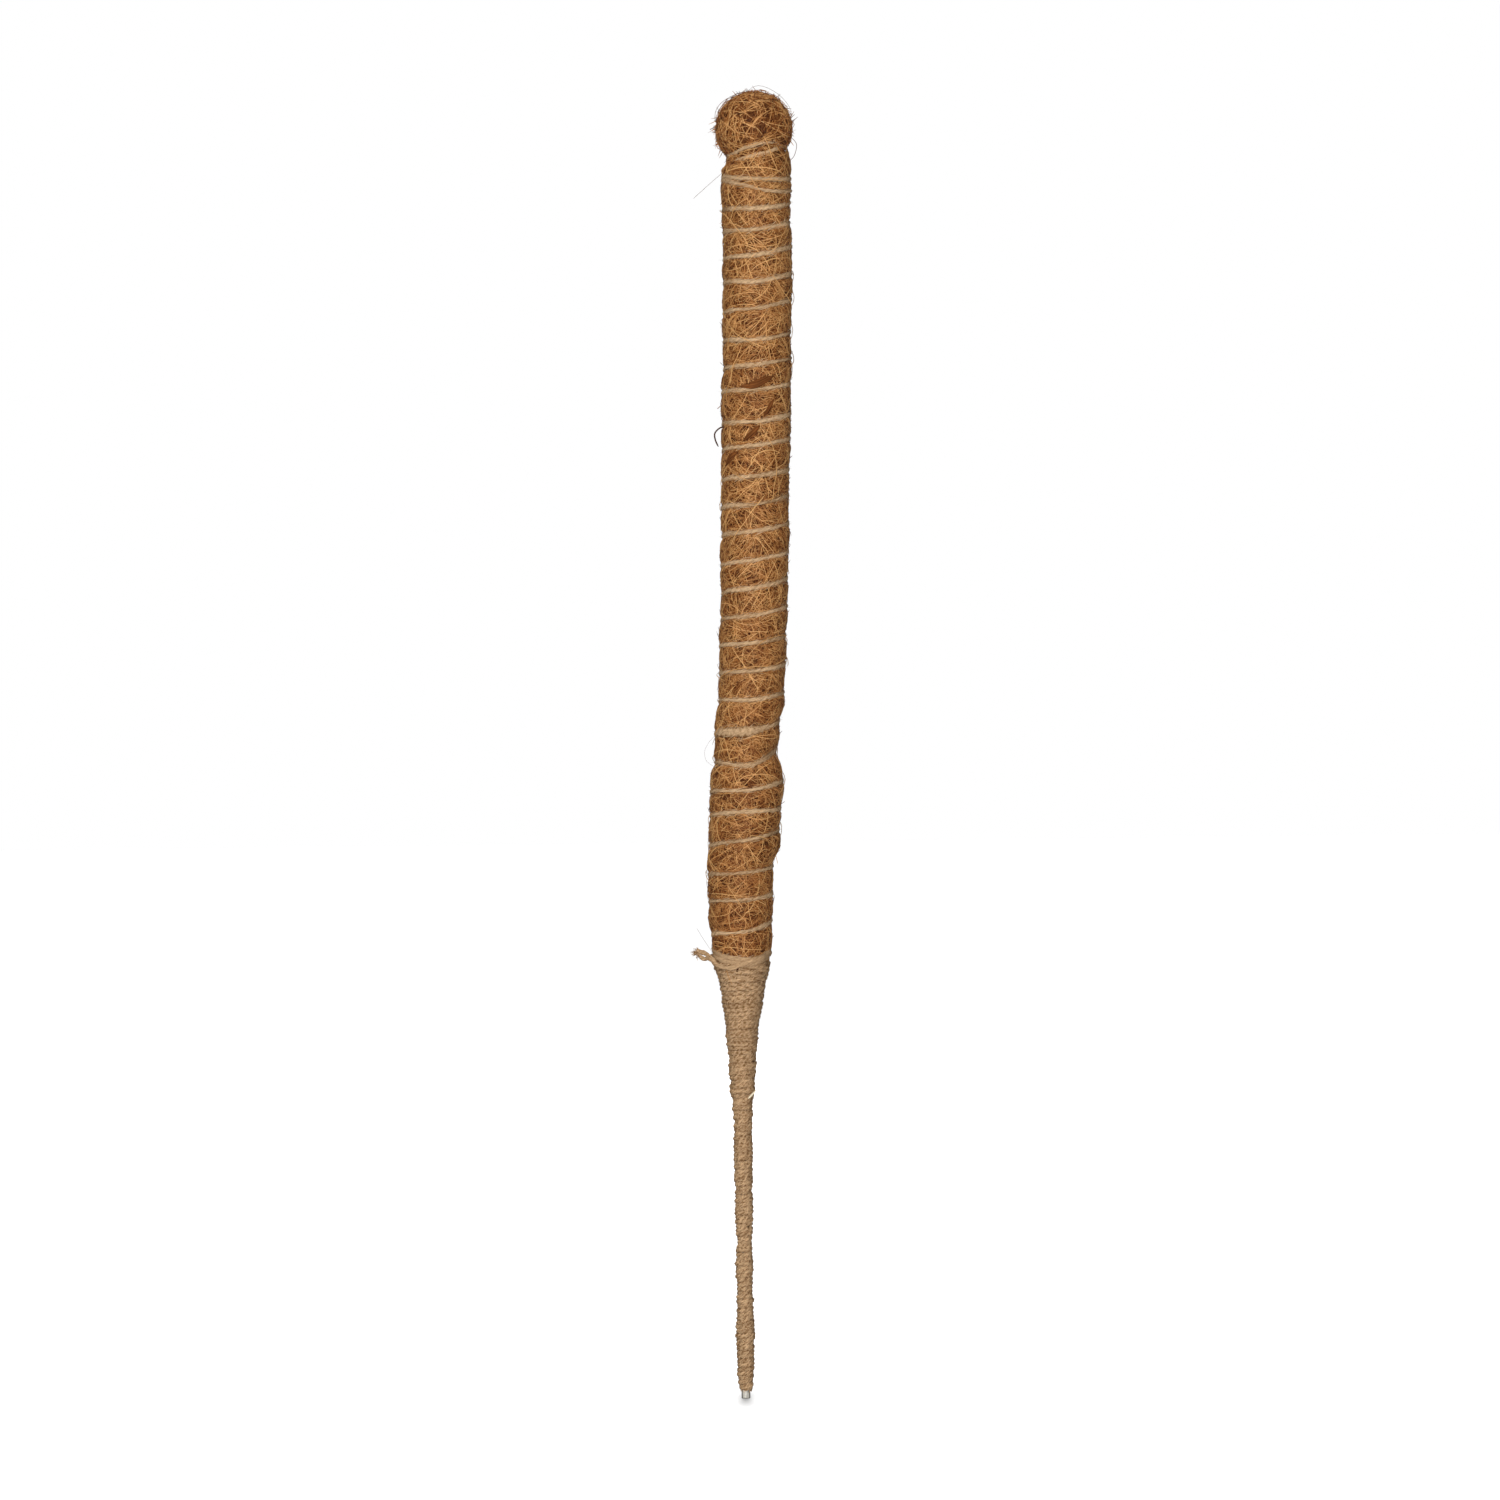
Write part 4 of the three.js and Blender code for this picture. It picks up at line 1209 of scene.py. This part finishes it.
    def add_head_ends(self, rng, count):
        """Short ends that stand off the head."""
        steps, reach, tone, size = self.HEAD_END
        ways = unit(rng.normal(0, 1, (count, 3)))
        ways = ways[ways @ HEAD_AXIS > self.LOWEST_END]
        sides = head_sides(rng, ways)
        share = np.linspace(0, 1, steps)
        lengths = rng.uniform(*reach, len(ways))
        rise = (rng.uniform(0.2, 0.9, len(ways))[:, None] * share**1.5)[..., None] * ways[:, None]
        strides = lengths[:, None, None] * (share[None, :, None] * sides[:, None] + rise)
        paths = head_point(ways, -0.3)[:, None] + strides
        self.lay_on_head(rng, paths, ways, tone, size, HALF_MATTED)

    def add_single(self):
        """Adds the fibres that stand out one by one at the front, and the hairs that leave the outline."""
        for points, radius, tone in FRONT_STRANDS:
            path = front_path(points, 0.15 + radius, 16)
            shape = self.shapes[int(length_number(path[8, 2]))]
            single_strand(shape, path, unit(path - pole_point(0.5, 0.0, path[:, 2])), radius, tone)
        for points, radius, tone in LOOSE_HAIRS:
            path = curve_through(points, 14)
            shape = self.shapes[int(length_number(path[0, 2]))]
            facing = np.broadcast_to([0.0, -1.0, 0.0], path.shape)
            single_strand(shape, path, facing, radius, tone, matted=0.0)


class COIRPOLE_OT_husk(PoleOperator, bpy.types.Operator):
    """Lays the flakes of husk among the fibres of the front"""

    bl_idname = "coir_pole.husk"
    bl_label = "Husk Flakes"

    STEPS = 15
    SIDES = 10
    LIFT = 0.4
    HALF_THICKNESS = 0.28
    # Course of each flake as distance right of the middle and height, then its greatest width
    FLAKES = (
        ([(-7.6, 464.2), (0.3, 465.6), (7.4, 469.0)], 3.6),
        ([(7.5, 458.4), (5.5, 454.4), (3.5, 450.4)], 2.2),
        ([(1.7, 446.4), (-1.7, 442.9), (-5.7, 439.0)], 2.7),
        ([(-7.9, 434.4), (-10.4, 432.2), (-13.2, 427.8)], 3.0),
    )

    def execute(self, context):
        material = bark_material(context.scene.coir_pole_coir)
        share = np.linspace(0, 1, self.STEPS)
        angle = TAU * np.arange(self.SIDES) / self.SIDES
        for flake, (course, width) in enumerate(self.FLAKES):
            right, seen = curve_through(course, self.STEPS).T
            radius = eased(COIR_RADII, seen)
            turn = 0.5 + np.arcsin(right / radius) / TAU
            height = pole_height(turn, seen, radius)
            centres = pole_point(turn, coir_radius(turn, height) + self.LIFT, height)
            outs = outward(turn, height)
            across = unit(np.cross(outs, unit(np.gradient(centres, axis=0))))
            wide = width / 2 * np.maximum(0.12, np.sin(math.pi * share) ** 0.7)
            ragged = 1 + 0.12 * np.cos(9 * share + flake)[:, None] * np.cos(angle)[None]
            spread = wide[:, None] * np.cos(angle) * ragged
            points = centres[:, None] + spread[..., None] * across[:, None]
            points = points + (self.HALF_THICKNESS * np.sin(angle))[None, :, None] * outs[:, None]
            ribs = (2 * np.cos(angle) * wide[:, None], np.sin(angle), 1.5 * share[:, None])
            shape = Shape()
            shape.add_tube(points, 1, strands=np.stack(np.broadcast_arrays(*ribs), -1))
            piece = shape.build(f"husk_flake_{flake + 1}", material)
            place_on_pole(piece, int(length_number(course[1][1])))
        return {"FINISHED"}


class COIRPOLE_OT_twine(PoleOperator, bpy.types.Operator):
    """Winds the twine round the column"""

    bl_idname = "coir_pole.twine"
    bl_label = "Column Twine"

    STEPS_A_TURN = 92
    KNOT_GAP = 0.11
    # Unevenness of the width, its one wide place as size, turn and reach, and unevenness of the tone
    SWELL = 0.2
    WIDE_PLACE = (1.6, 7.43, 0.12)
    FADING = 0.17
    # Hairs: number a turn, length, lift, thickness, tone and its spread, spread across the twine, slant
    HAIRS = (
        (130, (1.2, 4.5), 0.1, 0.12, (0.7, 0.22), 0.8, 0.9),
        (130, (2, 7), 0.15, 0.09, (0.3, 0.14), 1.5, 0.0),
        (30, (1.5, 4.5), 1.0, 0.05, (0.4, 0.15), 0.8, 0.0),
    )

    def execute(self, context):
        settings = context.scene.coir_pole_twine
        material = jute_material("column_twine", settings.twine_colour, settings.cut_colour)
        rng = np.random.default_rng(37)
        fine = np.linspace(TWINE_FIRST_TURN, TWINE_LAST_TURN, 6000)
        climb = flowing(WINDING, fine)
        thick = settings.thickness / MM
        passed = [float(fine[np.argmax(climb >= cut)]) for cut in CUTS]
        ends = [TWINE_FIRST_TURN, *passed, TWINE_LAST_TURN]
        knots = np.arange(TWINE_FIRST_TURN, TWINE_LAST_TURN + 1, self.KNOT_GAP)
        size, place, reach = self.WIDE_PLACE
        swells = 1 + self.SWELL * rng.normal(0, 1, len(knots))
        swells = swells + size * np.exp(-(((knots - place) / reach) ** 2))
        faded = np.abs(rng.normal(0, self.FADING, len(knots)))
        for number, (first, last) in enumerate(zip(ends, ends[1:])):
            turn = np.linspace(first, last, max(8, round((last - first) * self.STEPS_A_TURN)))
            height = flowing(WINDING, turn)
            swell = np.interp(turn, knots, swells)
            broad = np.maximum(0, swell - 1.3)
            radius = eased(COIR_RADII, height) + ripple(np.cos, LUMPS, turn, height)
            radius = radius - 0.42 * thick + 0.15 + 0.7 * broad
            pale = 0.82 - 0.12 * broad - np.interp(turn, knots, faded)
            # Strong painted shade along the twine's sides, where it meets the coir
            twine = Twine(
                pole_point(turn, radius, height), outward(turn, height), settings.width / MM * swell, thick,
                settings.lay / MM, rng, pale=pale, edges=0.7)
            shape = Shape()
            twine.add_to(shape)
            for a_turn, *hair in self.HAIRS:
                twine.add_hairs(shape, round((last - first) * a_turn), *hair)
            piece = shape.build(f"twine_length_{number + 1}", material)
            place_on_pole(piece, number, solid_of_length(number, "twine_winding", "crown_winding"))
        return {"FINISHED"}


class COIRPOLE_OT_neck_tie(PoleOperator, bpy.types.Operator):
    """Ties the neck off below the head"""

    bl_idname = "coir_pole.neck_tie"
    bl_label = "Neck Tie"

    STEPS = 190
    SUNK = 0.2
    # At the left of each turn the tie goes deeper
    BURIED = 0.8
    # Width and thickness against those of the column's twine
    NARROWER = 0.84
    THINNER = 0.9
    # Hairs: number, length, lift, thickness, tone and its spread, spread across the twine, slant
    HAIRS = (
        (200, (2, 7), 0.1, 0.11, (0.62, 0.17), 0.8, 0.5),
        (200, (2, 8), 0.15, 0.09, (0.4, 0.12), 1.6, 0.0),
    )

    def execute(self, context):
        settings = context.scene.coir_pole_twine
        rng = np.random.default_rng(43)
        turn = np.linspace(NECK_TIE[0][0], NECK_TIE[-1][0], self.STEPS)
        height = pole_height(turn, flowing(NECK_TIE, turn), NECK_TIE_RADIUS)
        head = np.sqrt(HEAD_RADIUS**2 - (np.maximum(height, NECK) - HEAD_MIDDLE) ** 2)
        part = np.mod(turn, 1)
        buried = self.BURIED * smooth((0.44 - part) / 0.1) * (part > 0.2)
        column = eased(COIR_RADII, height) - neck_hollow(turn, height)
        radius = np.where(height > NECK, head, column) - self.SUNK - buried
        twine = Twine(
            pole_point(turn, radius, height), outward(turn, height), self.NARROWER * settings.width / MM,
            self.THINNER * settings.thickness / MM, settings.lay / MM, rng, pale=0.7)
        shape = Shape()
        twine.add_to(shape)
        for hair in self.HAIRS:
            twine.add_hairs(shape, *hair)
        piece = shape.build("neck_tie_twine", bpy.data.materials["column_twine"])
        place_on_pole(piece, len(CUTS), "neck_tie")
        return {"FINISHED"}


# The twine of the close wraps is laid up tighter than the column's
WRAP_LAY = 0.68


def close_wrap(settings, low, high, radii, rng, uneven, per_turn):
    """Twine wound close between two heights of the stake, its first and last turns level."""
    pitch = settings.wrap_pitch / MM
    thick = settings.wrap_thickness / MM
    turns = round((high - low) / pitch) + 1
    end = turns + 2
    turn = np.linspace(0, turns, turns * per_turn)
    climb = np.clip((turn - 0.9) / (turns - 1.8), 0, 1)
    inside = smooth(np.minimum(climb, 1 - climb) * turns / 2)
    height = low + pitch / 2 + (high - low - pitch) * climb
    height = height + inside * wander(rng, turn, 0.3, end, 0, 0.08 * pitch)
    lumpy = wander(rng, turn, 1, end, 0, uneven)
    lumpy = lumpy + wander(rng, turn, 0.3, end, 0, uneven)
    radius = eased(radii, height) + lumpy - 0.5 * thick
    widths = 1.24 * pitch * wander(rng, turn, 0.3, end, 1, 0.08)
    centres = pole_point(turn + rng.random(), radius, height)
    outs = unit(centres - pole_point(0.0, 0.0, height))
    thicks = thick * wander(rng, turn, 0.3, end, 1.15, 0.1)
    pale = 0.72 - wander(rng, turn, 0.55, end, 0, 0.1, one_sided=True)
    lay = WRAP_LAY * settings.lay / MM
    # Strong painted shade in the grooves between the plies of the close wraps
    return Twine(centres, outs, widths, thicks, lay, rng, flat=0.95, pale=pale, marks=0.75)


class COIRPOLE_OT_stake_wrap(PoleOperator, bpy.types.Operator):
    """Wraps the stake with twine, in two lengths"""

    bl_idname = "coir_pole.stake_wrap"
    bl_label = "Stake Wrap"

    UNEVEN = 0.17
    STEPS_A_TURN = 26
    LENGTHS = (("lower", BARE_WIRE, STAKE_JOINT), ("upper", STAKE_JOINT, STEP_HEIGHT))
    # Hairs: number, length, lift, thickness, tone and its spread, spread across the twine, slant
    HAIRS = (
        (4000, (0.6, 2.2), 0.15, 0.16, (0.58, 0.45), 1.2, 1.0),
        (320, (0.8, 2.6), 0.6, 0.08, (0.2, 0.15), 0.8, 0.0),
    )

    def execute(self, context):
        settings = context.scene.coir_pole_twine
        material = jute_material("wound_jute", settings.wrap_colour, settings.cut_colour)
        rng = np.random.default_rng(53)
        for name, low, high in self.LENGTHS:
            twine = close_wrap(settings, low, high, STAKE_RADII, rng, self.UNEVEN, self.STEPS_A_TURN)
            shape = Shape()
            twine.add_to(shape, rows=16)
            for hair in self.HAIRS:
                twine.add_hairs(shape, *hair)
            piece = shape.build(f"stake_twine_{name}", material)
            place_on_pole(piece, 0, f"stake_wrap_{name}")
        return {"FINISHED"}


class COIRPOLE_OT_taper_wrap(PoleOperator, bpy.types.Operator):
    """Wraps the taper up to the collar, where the last turns cross"""

    bl_idname = "coir_pole.taper_wrap"
    bl_label = "Taper Wrap"

    UNEVEN = 0.18
    STEPS_A_TURN = 40
    # Hairs: number, length, lift, thickness, tone and its spread, spread across the twine, slant
    HAIRS = (
        (5800, (0.7, 2.6), 0.15, 0.16, (0.55, 0.45), 1.2, 1.0),
        (460, (1.0, 3.4), 0.6, 0.08, (0.2, 0.15), 0.8, 0.0),
    )
    COLLAR_HAIRS = (220, (1.5, 6), 0.1, 0.11, (0.6, 0.22), 0.9, 0.5)
    # Strands of the collar as turn and height, two of the rim and one that crosses below it, with their lift
    COLLAR_STRANDS = (
        ([(0.05, 202.6), (0.27, 203.6), (0.37, 201.6), (0.47, 199.9), (0.55, 199.6), (0.64, 201.2),
          (0.74, 204.0), (0.95, 203.2), (1.1, 202.6)], -0.1),
        ([(0.05, 204.8), (0.27, 206.2), (0.35, 204.0), (0.45, 202.0), (0.55, 201.2), (0.63, 202.6),
          (0.74, 206.2), (0.95, 205.2), (1.1, 204.4)], 0.1),
        ([(0.24, 203.2), (0.33, 199.4), (0.42, 197.6), (0.47, 198.1), (0.54, 200.4), (0.63, 202.4),
          (0.75, 204.4), (0.95, 203.6)], 0.55),
    )
    COLLAR_RADIUS = 13.5
    COLLAR_WIDTH = 2.3
    COLLAR_THICKNESS = 1.4
    # The pale cut end at the step below the taper: its ends, its facing, and its three strands
    CUT_ENDS = ([6.1, -3.4, 141.2], [2.8, -5.8, 138.2])
    CUT_FACING = (0.3, -0.9, 0.2)
    CUT_STRANDS = ((0.0, 0.0, 0.0), (0.25, -0.1, 0.3), (-0.2, -0.15, -0.25))
    CUT_RADIUS = 0.4
    CUT_TONE = 1.2

    def execute(self, context):
        settings = context.scene.coir_pole_twine
        rng = np.random.default_rng(59)
        shape = Shape()
        twine = close_wrap(
            settings, STEP_HEIGHT, WRAP_TOP, TAPER_RADII, rng, self.UNEVEN, self.STEPS_A_TURN)
        twine.add_to(shape, rows=16)
        for hair in self.HAIRS:
            twine.add_hairs(shape, *hair)
        for course, lift in self.COLLAR_STRANDS:
            turn = np.linspace(course[0][0], course[-1][0], 110)
            height = pole_height(turn, flowing(course, turn), self.COLLAR_RADIUS)
            radius = np.where(height > COLLAR, eased(COIR_RADII, height), eased(TAPER_RADII, height)) + lift
            # Light painted shade in the grooves and along the sides of the collar's strands
            strand = Twine(
                pole_point(turn, radius, height), outward(turn, height), self.COLLAR_WIDTH,
                self.COLLAR_THICKNESS, WRAP_LAY * settings.lay / MM, rng, pale=0.66, marks=0.3, edges=0.3)
            strand.add_to(shape, rows=4)
            strand.add_hairs(shape, *self.COLLAR_HAIRS)
        path = np.linspace(*self.CUT_ENDS, 6)
        facing = np.broadcast_to(self.CUT_FACING, path.shape)
        for offset in self.CUT_STRANDS:
            single_strand(shape, path + offset, facing, self.CUT_RADIUS, self.CUT_TONE, rows=HAIR_ROWS)
        piece = shape.build("taper_twine", bpy.data.materials["wound_jute"])
        place_on_pole(piece, 0, "taper_wrap")
        return {"FINISHED"}


class COIRPOLE_OT_tail(PoleOperator, bpy.types.Operator):
    """Leaves the end of the taper's twine loose and frayed at the collar"""

    bl_idname = "coir_pole.tail"
    bl_label = "Frayed Tail"

    # Course of each ply as X, Y and Z, then its thickness
    PLIES = (
        ([(-9.6, -7.8, 198.2), (-11.6, -6.6, 200.2), (-14.7, -5.6, 203.3), (-16.7, -5.0, 204.7),
          (-18.8, -4.6, 205.2), (-20.0, -4.4, 205.5)], 2.2),
        ([(-9.6, -7.4, 197.9), (-11.6, -6.2, 199.9), (-14.7, -5.4, 202.2), (-16.8, -4.8, 201.9),
          (-18.6, -4.4, 203.0), (-19.7, -4.2, 204.3)], 1.8),
    )
    PLY_LAY = 0.6
    HAIRS = (70, (1.0, 4.0), 0.3, 0.11, (0.55, 0.2), 0.8, 0.0)
    # The fan of fibres at the end: middle, heading, number, length, tone with its spread and limits
    FAN = np.array([-19.2, -4.4, 204.9])
    FAN_HEADING = np.array([-1.0, 0.05, -0.1])
    FAN_COUNT = 70
    FAN_REACH = (1.6, 3.4)
    FAN_TONE = (0.55, 0.2, 0.1, 0.9)

    def execute(self, context):
        settings = context.scene.coir_pole_twine
        rng = np.random.default_rng(61)
        shape = Shape()
        for ply, size in self.PLIES:
            centres = curve_through(ply, 40)
            outs = np.broadcast_to([0.0, -0.8, 0.6], centres.shape)
            twine = Twine(centres, outs, size, 0.95 * size, self.PLY_LAY * settings.lay / MM, rng, flat=1.0)
            twine.add_to(shape, rows=2)
            twine.add_hairs(shape, *self.HAIRS)
        count = self.FAN_COUNT
        start = self.FAN + rng.normal(0, 0.4, (count, 3))
        heading = unit(self.FAN_HEADING + rng.normal(0, 0.5, (count, 3)))
        size = rng.uniform(*self.FAN_REACH, count)[:, None, None]
        share = np.linspace(0, 1, 7)[None, :, None]
        curl = rng.normal(0, 0.25, (count, 1, 3))
        paths = start[:, None] + size * (heading[:, None] * share + curl * share**2)
        normals = np.broadcast_to([0.0, -1.0, 0.2], paths.shape)
        tones = drawn_tones(rng, count, *self.FAN_TONE)
        strand_tubes(shape, paths, normals, rng.uniform(0.1, 0.2, count), tones, HAIR_ROWS, matted=0.0)
        piece = shape.build("frayed_tail", bpy.data.materials["wound_jute"])
        place_on_pole(piece, 0, "twine_tail")
        return {"FINISHED"}


def camera_path(nodes, links):
    """1 for what the camera sees directly, by a mirror or through glass."""
    path = add_node(nodes, "LightPath")
    most = path.outputs["Is Camera Ray"]
    for name in ("Is Glossy Ray", "Is Transmission Ray"):
        larger = add_node(nodes, "Math", operation="MAXIMUM")
        links.new(most, larger.inputs[0])
        links.new(path.outputs[name], larger.inputs[1])
        most = larger.outputs["Value"]
    return most


class COIRPOLE_OT_stage(PoleOperator, bpy.types.Operator):
    """Sets up the floor, the soft lights, the white surroundings and the camera"""

    bl_idname = "coir_pole.stage"
    bl_label = "Stage"

    # Metres: the floor's half width and its drop below the tip
    FLOOR_HALF = 12.0
    FLOOR_DROP = 0.0004
    # The floor's own white is lowered round the tip, a painted contact shadow, and grows back from the tip
    # outwards; depth counts less than width
    CONTACT_SHADOW_STRETCH = (1, 0.2, 1)
    CONTACT_SHADOW_RANGE = {"From Min": 0.001, "From Max": 0.008, "To Min": 0.3, "To Max": 1.0}
    # Lights: name, place, share of the key's power
    LIGHTS = (
        ("front_softbox", (-0.2, -2.4, 0.72), 1.0),
        ("back_softbox_left", (-0.4, 2.4, 0.75), 0.45),
        ("back_softbox_right", (0.4, 2.4, 0.75), 0.45),
        ("side_softbox_left", (-2.3, 0.6, 0.75), 0.05),
        ("side_softbox_right", (2.3, 0.6, 0.75), 0.05),
        ("top_softbox", (0.0, -0.3, 2.3), 0.14),
    )
    SOFTBOX_SIZE = 0.9
    LIGHT_AIM = Vector((0, 0, 0.32))
    SENSOR_WIDTH = 36.0

    def execute(self, context):
        settings = context.scene.coir_pole_stage
        context.scene.view_settings.view_transform = "Standard"
        self.add_floor(context.scene)
        self.add_world(context.scene, settings)
        self.add_lights(context.scene, settings)
        self.add_camera(context.scene, settings)
        return {"FINISHED"}

    def add_floor(self, scene):
        half = self.FLOOR_HALF
        mesh = bpy.data.meshes.new("floor")
        corners = [(-half, -half, 0), (half, -half, 0), (half, half, 0), (-half, half, 0)]
        mesh.from_pydata(corners, [], [(0, 1, 2, 3)])
        floor = bpy.data.objects.new("floor", mesh)
        floor.location.z = -self.FLOOR_DROP
        scene.collection.objects.link(floor)
        material, nodes, links, shader = new_material("floor", 0.9, 0.1)
        shader.inputs["Base Color"].default_value = (0.5, 0.5, 0.5, 1)
        place = add_node(nodes, "TexCoord")
        stretched = add_node(nodes, "VectorMath", {1: self.CONTACT_SHADOW_STRETCH}, operation="MULTIPLY")
        links.new(place.outputs["Object"], stretched.inputs[0])
        away = add_node(nodes, "VectorMath", operation="LENGTH")
        links.new(stretched.outputs["Vector"], away.inputs[0])
        # Painted contact shadow: less white close to the tip
        shadowed_white = add_node(nodes, "MapRange", self.CONTACT_SHADOW_RANGE)
        links.new(away.outputs["Value"], shadowed_white.inputs["Value"])
        lit = add_node(nodes, "Emission")
        links.new(shadowed_white.outputs["Result"], lit.inputs["Strength"])
        both = add_node(nodes, "AddShader")
        links.new(shader.outputs["BSDF"], both.inputs[0])
        links.new(lit.outputs["Emission"], both.inputs[1])
        mix = add_node(nodes, "MixShader")
        links.new(camera_path(nodes, links), mix.inputs["Fac"])
        links.new(shader.outputs["BSDF"], mix.inputs[1])
        links.new(both.outputs["Shader"], mix.inputs[2])
        links.new(mix.outputs["Shader"], nodes["Material Output"].inputs["Surface"])
        mesh.materials.append(material)

    def add_world(self, scene, settings):
        world = bpy.data.worlds.new("white_surroundings")
        scene.world = world
        world.use_nodes = True
        nodes, links = world.node_tree.nodes, world.node_tree.links
        soft = nodes["Background"]
        soft.inputs["Color"].default_value = (1, 1, 1, 1)
        soft.inputs["Strength"].default_value = settings.ambient
        white = add_node(nodes, "Background", {"Color": (1, 1, 1, 1)})
        mix = add_node(nodes, "MixShader")
        links.new(camera_path(nodes, links), mix.inputs["Fac"])
        links.new(soft.outputs["Background"], mix.inputs[1])
        links.new(white.outputs["Background"], mix.inputs[2])
        links.new(mix.outputs["Shader"], nodes["World Output"].inputs["Surface"])

    def add_lights(self, scene, settings):
        for name, place, share in self.LIGHTS:
            lamp = bpy.data.lights.new(name, "AREA")
            lamp.energy = settings.key_power * share
            lamp.shape = "RECTANGLE"
            lamp.size, lamp.size_y = self.SOFTBOX_SIZE, self.SOFTBOX_SIZE
            light = bpy.data.objects.new(name, lamp)
            light.location = place
            aim = self.LIGHT_AIM - light.location
            light.rotation_euler = aim.to_track_quat("-Z", "Y").to_euler()
            light.visible_camera = False
            scene.collection.objects.link(light)

    def add_camera(self, scene, settings):
        camera = bpy.data.cameras.new("camera")
        holder = bpy.data.objects.new("camera", camera)
        target = Vector((CAMERA_X * MM, 0, CAMERA_HEIGHT * MM))
        holder.location = (target.x, -settings.distance, settings.height)
        sight = target - holder.location
        roll = Quaternion((0, 0, 1), settings.roll)
        holder.rotation_mode = "QUATERNION"
        holder.rotation_quaternion = sight.to_track_quat("-Z", "Y") @ roll
        camera.sensor_width = self.SENSOR_WIDTH
        camera.lens = camera.sensor_width * sight.length / settings.view_width
        scene.collection.objects.link(holder)
        scene.camera = holder


OPERATORS = (
    COIRPOLE_OT_wire,
    COIRPOLE_OT_felt,
    COIRPOLE_OT_fibres,
    COIRPOLE_OT_husk,
    COIRPOLE_OT_twine,
    COIRPOLE_OT_neck_tie,
    COIRPOLE_OT_stake_wrap,
    COIRPOLE_OT_taper_wrap,
    COIRPOLE_OT_tail,
    COIRPOLE_OT_stage,
)
SETTINGS = (CoirSettings, TwineSettings, StageSettings)


class COIRPOLE_PT_sidebar(bpy.types.Panel):
    """Lists the pieces of the pole and their settings"""

    bl_idname = "COIRPOLE_PT_sidebar"
    bl_label = "Coir Pole"
    bl_space_type = "VIEW_3D"
    bl_region_type = "UI"
    bl_category = "Coir Pole"

    def draw(self, context):
        for operator in OPERATORS:
            self.layout.operator(operator.bl_idname)
        scene = context.scene
        for group in (scene.coir_pole_coir, scene.coir_pole_twine, scene.coir_pole_stage):
            box = self.layout.box()
            for prop in group.bl_rna.properties:
                if prop.identifier not in {"rna_type", "name"}:
                    box.prop(group, prop.identifier)


CLASSES = (*SETTINGS, *OPERATORS, COIRPOLE_PT_sidebar)


def register():
    for cls in CLASSES:
        bpy.utils.register_class(cls)
    bpy.types.Scene.coir_pole_coir = bpy.props.PointerProperty(type=CoirSettings)
    bpy.types.Scene.coir_pole_twine = bpy.props.PointerProperty(type=TwineSettings)
    bpy.types.Scene.coir_pole_stage = bpy.props.PointerProperty(type=StageSettings)


def unregister():
    del bpy.types.Scene.coir_pole_stage
    del bpy.types.Scene.coir_pole_twine
    del bpy.types.Scene.coir_pole_coir
    for cls in reversed(CLASSES):
        bpy.utils.unregister_class(cls)


def main():
    register()
    for operator in OPERATORS:
        group, name = operator.bl_idname.split(".")
        getattr(getattr(bpy.ops, group), name)()


if __name__ == "__main__":
    main()
